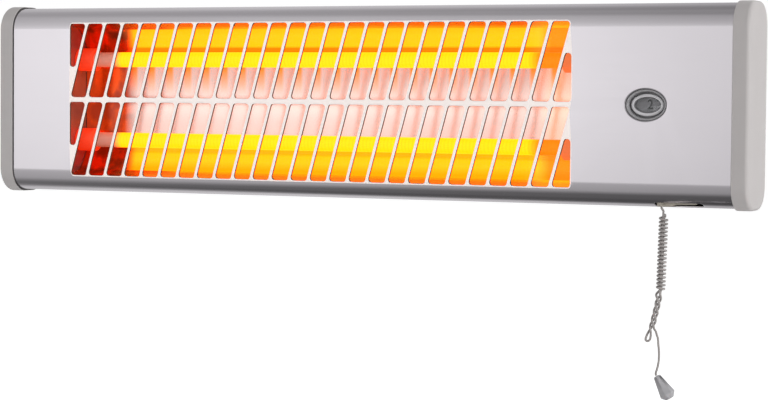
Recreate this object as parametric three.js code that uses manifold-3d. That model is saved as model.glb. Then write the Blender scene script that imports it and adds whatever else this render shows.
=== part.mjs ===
// A wall-mounted electric bar heater: a folded steel housing with a slotted grille in front of two quartz
// heating tubes, on a bracket that lets it tilt, with a cord-pulled switch and a round dial behind a window.
// Millimetres, +Z up. The origin is the centre of the wall bracket's rear face, and the heater faces -Y.

import * as THREE from "three";
import { mergeVertices } from "three/addons/utils/BufferGeometryUtils.js";
import Module from "manifold-3d";

const wasm = await Module();
wasm.setup();

// ---------------------------------------------------------------- driving dimensions

const gap = 0.3; // between pieces that touch or run in each other
const overcut = 5; // how far a cutting solid runs past the faces that it cuts

// housing
const panelLength = 493.5; // between the end caps
const bodyHeight = 121;
const bodyDepth = 37.5; // front face to the back plate's rear face
const sheet = 1; // steel of the shell and the back plate
const frontRadius = 14.5;
const rearRadius = 13;
const backFlangeHeight = 13;

// end caps
const capLength = 10.3;
const capProud = 1.2; // how far the caps stand out from the shell
const capWall = 2.2;
const capEdge = 1.4; // rounding of the caps' edges
const capLip = 8; // tongue inside the shell
const capBevelSteps = 2;

// grille
const grilleFromLeft = 44.55; // from the panel's left end
const grilleFromRight = 99.35;
const grilleFromEdge = 10.65; // from the housing's top and bottom
const slotPitch = 13.5;
const slotWidth = 11;
const rowGap = 3.3;
const firstBarOffset = 12.7; // first bar's centre from the grille's left end, at the top of a row
const slotCorner = 1.6;
const smallestSlot = 2.5; // a narrower sliver at the grille's end is left closed

// heating tubes
const tubeFromEdge = 34; // from the housing's top and bottom
const tubeDepth = 17.5; // behind the front face
const tubeRadius = 4.9;
const tubeWall = 0.9;
const tubeShorter = 10.2; // than the grille
const coldEnd = 19.5; // length of a tube's end without coil
const coilRadius = 3.4;
const ceramicRadius = 7.5;
const ceramicLength = 13;
const ceramicSocket = 5;
const ceramicNeckRadius = 4;
const ceramicNeckLength = 5;
const pinRadius = 1;
const pinReach = 5.2; // beyond the ceramic's neck

// reflector
const reflectorSheet = 0.6;
const reflectorDepth = 25.5; // flat back, behind the front face
const reflectorFlatFromEdge = 27; // how near the flat back comes to the housing's top and bottom
const reflectorTroughFromEdge = 14; // where the curved wall ends
const reflectorLipFromEdge = 9.5; // where the reflector meets the shell
const reflectorLip = 4;
const reflectorEndSheet = 1;

// window and dial
const windowFromEnd = 52.45; // from the panel's right end
const windowLength = 25.5;
const windowHeight = 19.1;
const bezelWall = 1.2;
const bezelDepth = 6.2;
const bezelFloorThickness = 1;
const bezelFlange = 3; // how far the flange behind the shell reaches past the window
const bezelFlangeThickness = 1;
const ringLength = 20.2;
const ringHeight = 13.7;
const ringDepth = 3.3; // the ring's front edge, behind the front face
const lensLength = 16.5;
const lensHeight = 9.3;
const lensThickness = 1.2;
const lensInset = 0.4; // in front of the bezel's rear face
const dialRadius = 18.5;
const dialThickness = 1.2;
const dialDepth = 7.6;
const dialDrop = 11; // the dial's axis below the window's middle
const dialAxleRadius = 1.8;
const dialHubRadius = 4.5;
const ratchetRadius = 7.5;
const ratchetRootRadius = 5.85;
const ratchetThickness = 1.2;
const ratchetTeeth = 6;
const ratchetCrest = 0.85; // of a tooth's pitch, where its steep side starts

// switch
const switchFrontDepth = 11.5;
const switchFromRear = 6; // in front of the back plate's rear face
const switchToLeft = 14; // from the window's middle
const switchToRight = 18;
const switchFromBottom = 35.7; // above the housing's underside
const switchHighZ = 4;
const lobeDepth = 16; // front of the lobe that carries the lever
const lobeToLeft = 18.7; // from the lever's pivot
const lobeToRight = 9;
const lobeFromBottom = 6.7;
const lobeHeight = 33;
const switchFootRadius = 4;
const leftFootAside = 7.3; // from the window's middle
const leftFootZ = -20;
const rightFootFromBottom = 33.7;
const leverPivotFromEnd = 20.75; // from the panel's right end
const leverPivotFromBottom = 11.7;
const leverReach = 24; // from its pivot to its tip
const leverFromBottom = 0.5; // its lower edge above the housing's underside
const leverDepth = 9.5; // middle of the lever, behind the front face
const leverThickness = 4.6;
const leverHubRadius = 4;
const leverTipRadius = 2.9;
const leverTipHeight = 4.7;
const leverArmTip = 3.7; // height of the arm at its tip
const leverArmReach = 5; // the arm widens from here, past the tip
const leverArmHeight = 5.2; // height of the arm there
const leverKneeX = 12; // left of the pivot, where the arm's lower edge turns
const leverKneeZ = 7; // below the pivot
const leverAxleRadius = 1.5;
const leverSlotDepth = 7; // width of the slot, front to back
const leverSlotHeight = 12.5; // above the housing's underside
const leverSlotSide = 0.8; // room beside the lever's tip
const leverSlotBeyond = 2; // the slot runs past the lever's pivot
const springRadius = 4;

// pull cord
const cordDiameter = 1.4;
const cordSides = 8;
const cordBallRadius = 1.3;
const cordBallFromBottom = 1.7; // above the housing's underside
const cordSocketRadius = 1.8;

// knob
const knobLength = 15.5;
const knobTopRadius = 2.4;
const knobRadius = 5.1;
const knobSides = 8;
const knobFootRadius = 2.6;
const knobFootBevel = 2.8;
const knobShoulder = 0.8;
const knobShoulderBevel = 0.5;

// bracket and tilt pivots
const pivotToWall = 36;
const pivotBehind = 10.5; // behind the back plate
const bracketLength = 203;
const bracketHeight = 34;
const bracketSheet = 2;
const earTipRadius = 7;
const earRootHeight = 26;
const earSegments = 6;
const pivotRadius = 2.5;
const pivotHeadRadius = 4.5;
const pivotHeadLength = 3;
const nutRadius = 4.6;
const nutLength = 4;
const boltPastNut = 2;
const keyholeX = 70;
const keyholeHeadRadius = 4.5;
const keyholeSlotRadius = 2.6;
const keyholeRise = 9;
const housingEarWidth = 20;
const housingEarHeight = 30;
const rivetFromEar = 13; // from the ear's inner side
const rivetZ = 10;

// small fasteners
const screwRadius = 1.5;
const screwHeadRadius = 3;
const screwHeadLength = 1.8;
const screwLength = 6;
const screwFromEnd = 21.75; // outer rear screws from the panel's ends
const rivetRadius = 1.9;
const rivetHeadRadius = 3.3;
const rivetHeadLength = 1.2;

// vents in the back plate
const ventPitch = 40;
const ventsPerGroup = 3;
const ventFromLeft = 66.75; // first vent of the left group, from the panel's left end
const ventFromRight = 206.75; // first vent of the right group, from the panel's right end
const ventZ = [-27, 23]; // lower edges
const ventLength = 26;
const ventHeight = 3.6;

// wiring
const wireRadius = 1.2;
const wireSides = 6;
const shieldRoom = 16.1; // beyond the reflector's end plate
const shieldThickness = 1;
const cutoutRadius = 7;
const cutoutLength = 7;
const blockAside = 0.7; // from the window's middle
const blockRoom = 1.7; // below the shell's flange
const blockLength = 38;
const blockHeight = 16;
const blockDepth = 19; // front to back
const poleRadius = 2.4;
const poleDepth = 7;
const glandFromEnd = 24.75; // from the panel's right end
const glandRadius = 8;
const glandBore = 4;
const glandThread = 6.5;
const glandReach = 12; // behind the back plate
const glandInside = 8; // in front of the back plate
const shieldWireHole = 3;
const shieldRearWireHole = 2;
const rearWireFromRear = 7.5; // in front of the back plate's rear face
const rearWireFromEdge = 8.7; // from the housing's top and bottom

// places that follow from these
const halfHeight = bodyHeight / 2;
const halfPanel = panelLength / 2;
const frontToWall = bodyDepth + pivotBehind + pivotToWall;
const grilleLeft = -halfPanel + grilleFromLeft;
const grilleRight = halfPanel - grilleFromRight;
const grilleLength = grilleRight - grilleLeft;
const rowHeight = halfHeight - grilleFromEdge - rowGap / 2;
const tubeX = (grilleLeft + grilleRight) / 2;
const tubeZ = halfHeight - tubeFromEdge; // above and below the middle
const tubeLength = grilleLength - tubeShorter;
const coilLength = tubeLength - 2 * coldEnd;
const windowX = halfPanel - windowFromEnd;
const leverPivotX = halfPanel - leverPivotFromEnd;
const leverPivotZ = -halfHeight + leverPivotFromBottom;
const leverTipX = leverPivotX - leverReach;
const leverBottomZ = -halfHeight + leverFromBottom;
const cordBallZ = -halfHeight + cordBallFromBottom;
const glandX = halfPanel - glandFromEnd;
const switchRearDepth = bodyDepth - switchFromRear;
const rearWireDepth = bodyDepth - rearWireFromRear;
const rearWireZ = halfHeight - rearWireFromEdge;

// ---------------------------------------------------------------- materials

const finish = (color, roughness, metalness = 0, extra = {}) =>
  new THREE.MeshStandardMaterial({ color, roughness, metalness, ...extra });

const satinSteel = finish(0xdcdadd, 0.35, 0.8);
const zincSteel = finish(0xb4b6ba, 0.4, 0.9);
const paintedSteel = finish(0xd6d5d6, 0.5, 0.2);
const polished = finish(0xe8e6e4, 0.12, 1);
const capPlastic = finish(0xb3b0b0, 0.5);
const bezelPlastic = finish(0x8a888c, 0.45);
const switchPlastic = finish(0xe4e0d4, 0.5);
const dialPlastic = finish(0x77777b, 0.5);
const leverPlastic = finish(0xa8a49a, 0.5);
const clearPlastic = finish(0xc8ccd0, 0.1, 0, { transparent: true, opacity: 0.4 });
const quartz = finish(0xf4ecdc, 0.15, 0, { transparent: true, opacity: 0.5 });
const glowing = finish(0xffe000, 0.6, 0, { emissive: 0xffd000, emissiveIntensity: 1 });
const ceramic = finish(0xefe9dc, 0.7);
const cordTextile = finish(0x96908a, 0.9);
const knobPlastic = finish(0x97959a, 0.5);
const wireJacket = finish(0xd8d2c4, 0.6);
const mica = finish(0xc9b58a, 0.7);
const brass = finish(0xc9a75a, 0.35, 1);

// ---------------------------------------------------------------- geometry helpers

const axisX = new THREE.Vector3(1, 0, 0);
const axisY = new THREE.Vector3(0, 1, 0);
const axisZ = new THREE.Vector3(0, 0, 1);

// A closed geometry as a solid that can be joined and cut.
function solidOf(geometry) {
  const bare = new THREE.BufferGeometry();
  const source = geometry.index ? geometry.toNonIndexed() : geometry;
  bare.setAttribute("position", source.getAttribute("position"));
  const merged = mergeVertices(bare, 1e-4);
  return new wasm.Manifold(
    new wasm.Mesh({
      numProp: 3,
      vertProperties: merged.attributes.position.array,
      triVerts: new Uint32Array(merged.index.array),
    }),
  );
}

function geometryOf(solid) {
  const mesh = solid.getMesh();
  const geometry = new THREE.BufferGeometry();
  geometry.setAttribute("position", new THREE.BufferAttribute(mesh.vertProperties, 3));
  geometry.setIndex(new THREE.BufferAttribute(mesh.triVerts, 1));
  const flat = geometry.toNonIndexed();
  flat.computeVertexNormals();
  return flat;
}

function join(...geometries) {
  const solids = geometries.map(solidOf);
  return geometryOf(solids.reduce((whole, next) => whole.add(next)));
}

function cut(geometry, ...tools) {
  const solids = tools.map(solidOf);
  return geometryOf(solids.reduce((whole, tool) => whole.subtract(tool), solidOf(geometry)));
}

function extrude(shape, length, basis, origin, curveSegments, options = {}) {
  const geometry = new THREE.ExtrudeGeometry(shape, {
    depth: length,
    bevelEnabled: false,
    curveSegments,
    ...options,
  });
  const matrix = new THREE.Matrix4().makeBasis(...basis).setPosition(...origin);
  return geometry.applyMatrix4(matrix);
}

// Prisms along the three axes. The shape's two coordinates are (y, z), (x, z) and (x, y).
function prismX(shape, from, to, curveSegments = 3, options = {}) {
  return extrude(shape, to - from, [axisY, axisZ, axisX], [from, 0, 0], curveSegments, options);
}

function prismY(shape, from, to, curveSegments = 3) {
  const towardsFront = axisY.clone().negate();
  return extrude(shape, to - from, [axisX, axisZ, towardsFront], [0, to, 0], curveSegments);
}

function prismZ(shape, from, to, curveSegments = 3) {
  return extrude(shape, to - from, [axisX, axisY, axisZ], [0, 0, from], curveSegments);
}

const roundSegments = 6; // half the sides of a round piece

function circle(radius, u = 0, v = 0) {
  const shape = new THREE.Shape();
  shape.absarc(u, v, radius, 0, 2 * Math.PI);
  return shape;
}

function ellipse(length, height, u = 0, v = 0) {
  const shape = new THREE.Shape();
  shape.absellipse(u, v, length / 2, height / 2, 0, 2 * Math.PI);
  return shape;
}

function rectangle(left, right, low, high) {
  const shape = new THREE.Shape();
  shape.moveTo(left, low);
  shape.lineTo(right, low);
  shape.lineTo(right, high);
  shape.lineTo(left, high);
  return shape;
}

function polygon(points) {
  return new THREE.Shape(points.map(([u, v]) => new THREE.Vector2(u, v)));
}

const rodX = (radius, from, to, y, z) => prismX(circle(radius, y, z), from, to, roundSegments);
const rodY = (radius, from, to, x, z) => prismY(circle(radius, x, z), from, to, roundSegments);
const rodZ = (radius, from, to, x, y) => prismZ(circle(radius, x, y), from, to, roundSegments);

function box(left, right, front, rear, low, high) {
  return prismY(rectangle(left, right, low, high), front, rear);
}

// A polygon with its corners rounded by a radius that is limited by the edges.
function roundedPolygon(points, radius) {
  const shape = new THREE.Shape();
  const corners = points.map(([u, v]) => new THREE.Vector2(u, v));
  corners.forEach((corner, i) => {
    const before = corners[(i + corners.length - 1) % corners.length];
    const after = corners[(i + 1) % corners.length];
    const inward = before.clone().sub(corner);
    const outward = after.clone().sub(corner);
    const reach = Math.min(radius, 0.45 * inward.length(), 0.45 * outward.length());
    const start = corner.clone().add(inward.setLength(reach));
    const end = corner.clone().add(outward.setLength(reach));
    if (i === 0) shape.moveTo(start.x, start.y);
    else shape.lineTo(start.x, start.y);
    shape.quadraticCurveTo(corner.x, corner.y, end.x, end.y);
  });
  return shape;
}

// The part of a polygon with sign * (u - limit) <= 0.
function clipPolygon(points, limit, sign) {
  const kept = [];
  points.forEach((point, i) => {
    const next = points[(i + 1) % points.length];
    const here = sign * (point[0] - limit);
    const there = sign * (next[0] - limit);
    if (here <= 0) kept.push(point);
    if (here * there < 0) {
      const share = here / (here - there);
      kept.push([limit, point[1] + share * (next[1] - point[1])]);
    }
  });
  return kept;
}

// A sheet of even thickness that follows a line of points, to the line's left.
function ribbon(points, thickness) {
  const line = points.map(([u, v]) => new THREE.Vector2(u, v));
  const leftOf = (a, b) => new THREE.Vector2(a.y - b.y, b.x - a.x).normalize();
  const offset = line.map((point, i) => {
    const before = i > 0 ? leftOf(line[i - 1], point) : leftOf(point, line[i + 1]);
    const after = i < line.length - 1 ? leftOf(point, line[i + 1]) : before;
    const normal = before.clone().add(after).normalize();
    return point.clone().addScaledVector(normal, thickness / normal.dot(before));
  });
  return new THREE.Shape([...line, ...offset.reverse()]);
}

// A tube along a smooth line through points, with flat ends.
function cordTube(points, radius, steps, sides) {
  const curve = new THREE.CatmullRomCurve3(points.map((point) => new THREE.Vector3(...point)));
  const section = new THREE.Shape();
  for (let side = 0; side < sides; side++) {
    const angle = (2 * Math.PI * side) / sides;
    const [u, v] = [radius * Math.cos(angle), radius * Math.sin(angle)];
    if (side === 0) section.moveTo(u, v);
    else section.lineTo(u, v);
  }
  return new THREE.ExtrudeGeometry(section, { steps, extrudePath: curve, bevelEnabled: false });
}

function mirroredX(geometry) {
  const source = geometry.index ? geometry.toNonIndexed() : geometry.clone();
  source.scale(-1, 1, 1);
  const position = source.getAttribute("position");
  const point = new THREE.Vector3();
  for (let i = 0; i < position.count; i += 3) {
    point.fromBufferAttribute(position, i + 1);
    position.setXYZ(i + 1, position.getX(i + 2), position.getY(i + 2), position.getZ(i + 2));
    position.setXYZ(i + 2, point.x, point.y, point.z);
  }
  source.computeVertexNormals();
  return source;
}

function place(group, name, geometry, material) {
  const mesh = new THREE.Mesh(geometry, material);
  mesh.name = name;
  group.add(mesh);
  return mesh;
}

// A tool or piece on both sides: the given one for the right, its mirror image for the left.
const bothSides = [
  ["right", (geometry) => geometry],
  ["left", mirroredX],
];

// ---------------------------------------------------------------- groups

const heater = new THREE.Group();
const wallMount = new THREE.Group();
const housing = new THREE.Group(); // its y is the depth behind the front face
const cordGroup = new THREE.Group(); // its origin is the centre of the ball in the lever's tip
heater.add(wallMount, housing);
housing.add(cordGroup);
housing.position.y = -frontToWall;
cordGroup.position.set(leverTipX, leverDepth, cordBallZ);

// ---------------------------------------------------------------- housing shell

const shellDepth = bodyDepth - sheet - gap; // front face to the flanges' rear face
const backInner = bodyDepth - sheet; // inner face of the back plate

// The housing's outline in (depth, height), drawn in by an inset.
function bodyOutline(inset, depth) {
  const [front, rear, top] = [inset, depth - inset, halfHeight - inset];
  const [r, q] = [frontRadius - inset, rearRadius - inset];
  const shape = new THREE.Shape();
  shape.moveTo(rear, -top + q);
  shape.lineTo(rear, top - q);
  shape.absarc(rear - q, top - q, q, 0, Math.PI / 2);
  shape.lineTo(front + r, top);
  shape.absarc(front + r, top - r, r, Math.PI / 2, Math.PI);
  shape.lineTo(front, -top + r);
  shape.absarc(front + r, -top + r, r, Math.PI, 1.5 * Math.PI);
  shape.lineTo(rear - q, -top);
  shape.absarc(rear - q, -top + q, q, 1.5 * Math.PI, 2 * Math.PI);
  return shape;
}

const shellEnd = halfPanel - gap;
const screwX = halfPanel - screwFromEnd;
const flangeInnerZ = halfHeight - rearRadius - backFlangeHeight;
const screwZ = flangeInnerZ + backFlangeHeight / 2;
const rearScrews = [-screwX, 0, screwX].flatMap((x) => [
  [x, screwZ],
  [x, -screwZ],
]);

// One slot of the grille: a slanted opening between two bars, cut off at the grille's ends.
const slotCount = Math.ceil((grilleLength - firstBarOffset) / slotPitch) + 2;

function slotOutline(index, low, high) {
  const rightTop = grilleLeft + firstBarOffset + index * slotPitch - (slotPitch - slotWidth) / 2;
  const leftTop = rightTop - slotWidth;
  const slanted = [
    [leftTop, high],
    [leftTop - slotPitch, low],
    [rightTop - slotPitch, low],
    [rightTop, high],
  ];
  return clipPolygon(clipPolygon(slanted, grilleLeft, -1), grilleRight, 1);
}

const rowLows = [rowGap / 2, -rowGap / 2 - rowHeight];
const slotTools = rowLows.flatMap((low) => {
  const tools = [];
  for (let index = 0; index < slotCount; index++) {
    const outline = slotOutline(index, low, low + rowHeight);
    const across = outline.map(([u]) => u);
    if (outline.length < 3 || Math.max(...across) - Math.min(...across) < smallestSlot) continue;
    tools.push(prismY(roundedPolygon(outline, slotCorner), -overcut, overcut, 2));
  }
  return tools;
});

const leverSlotLeft = leverTipX - leverTipRadius - leverSlotSide;
const leverSlotRight = leverPivotX + leverSlotBeyond;
const leverSlot = prismZ(
  rectangle(
    leverSlotLeft,
    leverSlotRight,
    leverDepth - leverSlotDepth / 2,
    leverDepth + leverSlotDepth / 2,
  ),
  -halfHeight - overcut,
  -halfHeight + leverSlotHeight,
);

place(
  housing,
  "front_shell",
  cut(
    prismX(bodyOutline(0, shellDepth), -shellEnd, shellEnd),
    prismX(bodyOutline(sheet, shellDepth), -halfPanel, halfPanel),
    box(-halfPanel, halfPanel, shellDepth - 2 * sheet, backInner, -flangeInnerZ, flangeInnerZ),
    prismY(ellipse(windowLength, windowHeight, windowX), -overcut, overcut, 10),
    leverSlot,
    ...rearScrews.map(([x, z]) => rodY(screwRadius + gap, backInner - overcut, backInner, x, z)),
    ...slotTools,
  ),
  satinSteel,
);

// ---------------------------------------------------------------- back plate, ears and their fasteners

const backHalfHeight = halfHeight - rearRadius - gap;
const ventGroups = [-halfPanel + ventFromLeft, halfPanel - ventFromRight];
const ventX = ventGroups.flatMap((start) => {
  const lefts = [];
  for (let vent = 0; vent < ventsPerGroup; vent++) lefts.push(start + vent * ventPitch);
  return lefts;
});
const switchFeet = [
  [windowX - leftFootAside, leftFootZ],
  [leverPivotX, -halfHeight + rightFootFromBottom],
];
const earInnerX = bracketLength / 2 + gap;
const rivetX = earInnerX + rivetFromEar;

place(
  housing,
  "back_plate",
  cut(
    box(-shellEnd, shellEnd, backInner, bodyDepth, -backHalfHeight, backHalfHeight),
    ...rearScrews.map(([x, z]) => rodY(screwRadius + gap, shellDepth, bodyDepth + overcut, x, z)),
    ...switchFeet.map(([x, z]) => rodY(screwRadius + gap, shellDepth, bodyDepth + overcut, x, z)),
    ...[-rivetX, rivetX].flatMap((x) =>
      [-rivetZ, rivetZ].map((z) => rodY(rivetRadius + gap, shellDepth, bodyDepth + overcut, x, z)),
    ),
    rodY(glandThread + gap, shellDepth, bodyDepth + overcut, glandX, 0),
    ...ventX.flatMap((x) =>
      ventZ.map((z) => box(x, x + ventLength, shellDepth, bodyDepth + overcut, z, z + ventHeight)),
    ),
  ),
  paintedSteel,
);

function rearScrew(x, z) {
  const headFront = bodyDepth + gap;
  return join(
    rodY(screwHeadRadius, headFront, headFront + screwHeadLength, x, z),
    rodY(screwRadius, headFront - screwLength, headFront + screwHeadLength / 2, x, z),
  );
}
rearScrews.forEach(([x, z], i) => place(housing, `back_screw_${i + 1}`, rearScrew(x, z), zincSteel));
switchFeet.forEach(([x, z], i) => place(housing, `switch_screw_${i + 1}`, rearScrew(x, z), zincSteel));

// The outline in (y, z) of an ear that runs from a root line to its round tip about the tilt axis.
function earOutline(rootY, rootHalfHeight, tipY, direction) {
  const shape = new THREE.Shape();
  const start = (-direction * Math.PI) / 2;
  shape.moveTo(rootY, direction * -rootHalfHeight);
  shape.absarc(tipY, 0, earTipRadius, start, start + Math.PI);
  shape.lineTo(rootY, direction * rootHalfHeight);
  return shape;
}

const pivotDepth = frontToWall - pivotToWall; // tilt axis, behind the front face
const earPlateFront = bodyDepth + gap;
const earPlateRear = earPlateFront + bracketSheet;

for (const [side, turned] of bothSides) {
  const ear = cut(
    join(
      box(
        earInnerX,
        earInnerX + housingEarWidth,
        earPlateFront,
        earPlateRear,
        -housingEarHeight / 2,
        housingEarHeight / 2,
      ),
      prismX(
        earOutline(earPlateFront, housingEarHeight / 2, pivotDepth, 1),
        earInnerX,
        earInnerX + bracketSheet,
        earSegments,
      ),
    ),
    rodX(pivotRadius + gap, earInnerX - overcut, earInnerX + bracketSheet + overcut, pivotDepth, 0),
    ...[-rivetZ, rivetZ].map((z) =>
      rodY(rivetRadius + gap, earPlateFront - overcut, earPlateRear + overcut, rivetX, z),
    ),
  );
  place(housing, `housing_ear_${side}`, turned(ear), zincSteel);
  [rivetZ, -rivetZ].forEach((z, i) => {
    const rivet = join(
      rodY(rivetHeadRadius, backInner - gap - rivetHeadLength, backInner - gap, rivetX, z),
      rodY(rivetRadius, backInner - gap - rivetHeadLength / 2, earPlateRear + gap * 2, rivetX, z),
      rodY(rivetHeadRadius, earPlateRear + gap, earPlateRear + gap + rivetHeadLength, rivetX, z),
    );
    place(housing, `ear_rivet_${side}_${i + 1}`, turned(rivet), zincSteel);
  });
}

// ---------------------------------------------------------------- end caps

const capOuter = bodyOutline(-capProud, bodyDepth);
const capInset = sheet + gap;

for (const [side, turned] of bothSides) {
  const slab = prismX(capOuter, halfPanel + capEdge, halfPanel + capLength - capEdge, 4, {
    bevelEnabled: true,
    bevelThickness: capEdge,
    bevelSize: capEdge,
    bevelOffset: -capEdge,
    bevelSegments: capBevelSteps,
  });
  const tongue = prismX(bodyOutline(capInset, shellDepth), halfPanel - capLip, halfPanel + capEdge, 4);
  const pocket = prismX(
    bodyOutline(capInset + capWall, shellDepth),
    halfPanel - capLip - overcut,
    halfPanel + capLength - capWall,
    4,
  );
  place(housing, `end_cap_${side}`, turned(cut(join(slab, tongue), pocket)), capPlastic);
}

// ---------------------------------------------------------------- reflector

const ceramicEnd = tubeLength / 2 - ceramicSocket + ceramicLength; // from the tubes' middle
const reflectorHalf = ceramicEnd;
const reflectorFlatZ = halfHeight - reflectorFlatFromEdge;
const reflectorTroughZ = halfHeight - reflectorTroughFromEdge;
const reflectorLipZ = halfHeight - reflectorLipFromEdge;

// Distance from a tube's axis to the vertex of the parabola that has its focus there and meets the flat.
const flatRise = reflectorFlatZ - tubeZ;
const flatDrop = reflectorDepth - tubeDepth;
const focal = (flatDrop + Math.hypot(flatDrop, flatRise)) / 2;
const troughDepth = (z) => tubeDepth + focal - (z - tubeZ) ** 2 / (4 * focal);

const lipRadius = frontRadius - sheet - gap;
const lipDepth = (z) => frontRadius - Math.sqrt(lipRadius ** 2 - (z - halfHeight + frontRadius) ** 2);
const troughSteps = 6;
const reflectorLine = [
  [lipDepth(reflectorLipZ + reflectorLip), reflectorLipZ + reflectorLip],
  [lipDepth(reflectorLipZ + reflectorLip / 2), reflectorLipZ + reflectorLip / 2],
  [lipDepth(reflectorLipZ), reflectorLipZ],
];
for (let step = 0; step <= troughSteps; step++) {
  const z = reflectorTroughZ + ((reflectorFlatZ - reflectorTroughZ) * step) / troughSteps;
  reflectorLine.push([troughDepth(z), z]);
}
const reflectorFull = [
  ...reflectorLine,
  ...[...reflectorLine].reverse().map(([depth, z]) => [depth, -z]),
];
const reflector = prismX(
  ribbon(reflectorFull, reflectorSheet),
  tubeX - reflectorHalf,
  tubeX + reflectorHalf,
);
place(housing, "reflector", reflector, polished);

const endPlateOutline = reflectorFull
  .filter(([, z]) => Math.abs(z) <= reflectorLipZ)
  .map(([depth, z]) => [depth + (Math.abs(z) < reflectorLipZ ? reflectorSheet : reflectorSheet / 2), z]);
for (const [side, direction] of [
  ["left", -1],
  ["right", 1],
]) {
  const near = tubeX + direction * (reflectorHalf + gap);
  const far = near + direction * reflectorEndSheet;
  const [from, to] = [Math.min(near, far), Math.max(near, far)];
  place(
    housing,
    `reflector_end_${side}`,
    cut(
      prismX(polygon(endPlateOutline), from, to),
      ...[tubeZ, -tubeZ].map((z) =>
        rodX(ceramicNeckRadius + gap, from - overcut, to + overcut, tubeDepth, z),
      ),
    ),
    polished,
  );
}

// ---------------------------------------------------------------- heating tubes

for (const [level, z] of [
  ["upper", tubeZ],
  ["lower", -tubeZ],
]) {
  const [left, right] = [tubeX - tubeLength / 2, tubeX + tubeLength / 2];
  place(
    housing,
    `quartz_tube_${level}`,
    cut(
      rodX(tubeRadius, left, right, tubeDepth, z),
      rodX(tubeRadius - tubeWall, left - overcut, right + overcut, tubeDepth, z),
    ),
    quartz,
  );
  place(
    housing,
    `heating_coil_${level}`,
    rodX(coilRadius, tubeX - coilLength / 2, tubeX + coilLength / 2, tubeDepth, z),
    glowing,
  );
  for (const [side, direction] of [
    ["left", -1],
    ["right", 1],
  ]) {
    const along = (radius, from, to) => {
      const [a, b] = [tubeX + direction * from, tubeX + direction * to];
      return rodX(radius, Math.min(a, b), Math.max(a, b), tubeDepth, z);
    };
    const ceramicStart = ceramicEnd - ceramicLength;
    const neckEnd = ceramicEnd + gap + reflectorEndSheet + ceramicNeckLength;
    place(
      housing,
      `ceramic_${level}_${side}`,
      cut(
        join(
          along(ceramicRadius, ceramicStart, ceramicEnd),
          along(ceramicNeckRadius, ceramicStart + ceramicSocket, neckEnd),
        ),
        along(tubeRadius + gap, ceramicStart - overcut, tubeLength / 2 + gap),
        along(pinRadius + gap, ceramicStart, neckEnd + overcut),
      ),
      ceramic,
    );
    place(
      housing,
      `terminal_pin_${level}_${side}`,
      along(pinRadius, coilLength / 2 + gap, neckEnd + pinReach),
      zincSteel,
    );
  }
}

// ---------------------------------------------------------------- window and dial

const windowOval = (length, height) => ellipse(length, height, windowX);
const bezelLength = windowLength - 2 * gap;
const bezelHeight = windowHeight - 2 * gap;
const bezelFloor = bezelDepth - bezelFloorThickness;
const flangeFront = sheet + gap;
const ovalSegments = 10;
place(
  housing,
  "window_bezel",
  cut(
    join(
      prismY(windowOval(bezelLength, bezelHeight), gap, bezelDepth, ovalSegments),
      prismY(
        windowOval(windowLength + 2 * bezelFlange, windowHeight + 2 * bezelFlange),
        flangeFront,
        flangeFront + bezelFlangeThickness,
        ovalSegments,
      ),
    ),
    cut(
      prismY(
        windowOval(bezelLength - 2 * bezelWall, bezelHeight - 2 * bezelWall),
        -overcut,
        bezelFloor,
        ovalSegments,
      ),
      prismY(windowOval(ringLength, ringHeight), ringDepth, bezelFloor + overcut, ovalSegments),
    ),
    prismY(windowOval(lensLength, lensHeight), -overcut, bezelDepth + overcut, ovalSegments),
  ),
  bezelPlastic,
);
const lensRear = bezelDepth - lensInset;
place(
  housing,
  "window_lens",
  prismY(
    windowOval(lensLength - 2 * gap, lensHeight - 2 * gap),
    lensRear - lensThickness,
    lensRear,
    ovalSegments,
  ),
  clearPlastic,
);

const dialZ = -dialDrop;
const dialRear = dialDepth + dialThickness;
const ratchetOutline = [];
for (let tooth = 0; tooth < ratchetTeeth; tooth++) {
  const angle = (2 * Math.PI * tooth) / ratchetTeeth;
  const crest = angle + (2 * Math.PI * ratchetCrest) / ratchetTeeth;
  ratchetOutline.push([
    windowX + ratchetRootRadius * Math.cos(angle),
    dialZ + ratchetRootRadius * Math.sin(angle),
  ]);
  ratchetOutline.push([
    windowX + ratchetRadius * Math.cos(crest),
    dialZ + ratchetRadius * Math.sin(crest),
  ]);
}
place(
  housing,
  "indicator_dial",
  cut(
    join(
      prismY(circle(dialRadius, windowX, dialZ), dialDepth, dialRear, 14),
      prismY(polygon(ratchetOutline), dialDepth + gap, dialRear + ratchetThickness),
      rodY(dialHubRadius, dialDepth + gap, switchFrontDepth - gap, windowX, dialZ),
    ),
    rodY(dialAxleRadius + gap, dialDepth - overcut, switchFrontDepth, windowX, dialZ),
  ),
  dialPlastic,
);

// ---------------------------------------------------------------- switch, lever and its spring

const switchLeft = windowX - switchToLeft;
const switchRight = windowX + switchToRight;
const switchLowZ = -halfHeight + switchFromBottom;
const lobeLeft = leverPivotX - lobeToLeft;
const lobeRight = leverPivotX + lobeToRight;
const lobeLowZ = -halfHeight + lobeFromBottom;
const lobeHighZ = lobeLowZ + lobeHeight;
const leverFront = leverDepth - leverThickness / 2;
const leverRear = leverDepth + leverThickness / 2;
place(
  housing,
  "switch_body",
  cut(
    join(
      box(switchLeft, switchRight, switchFrontDepth, switchRearDepth, switchLowZ, switchHighZ),
      box(lobeLeft, lobeRight, lobeDepth, switchRearDepth, lobeLowZ, lobeHighZ),
      rodY(dialAxleRadius, dialDepth + gap, switchRearDepth, windowX, dialZ),
      rodY(leverAxleRadius, leverFront - 2 * gap, switchRearDepth, leverPivotX, leverPivotZ),
      ...switchFeet.map(([x, z]) => rodY(switchFootRadius, lobeDepth, backInner - gap, x, z)),
    ),
    ...switchFeet.map(([x, z]) =>
      rodY(screwRadius + gap, backInner - screwLength - gap, backInner, x, z),
    ),
  ),
  switchPlastic,
);

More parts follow.
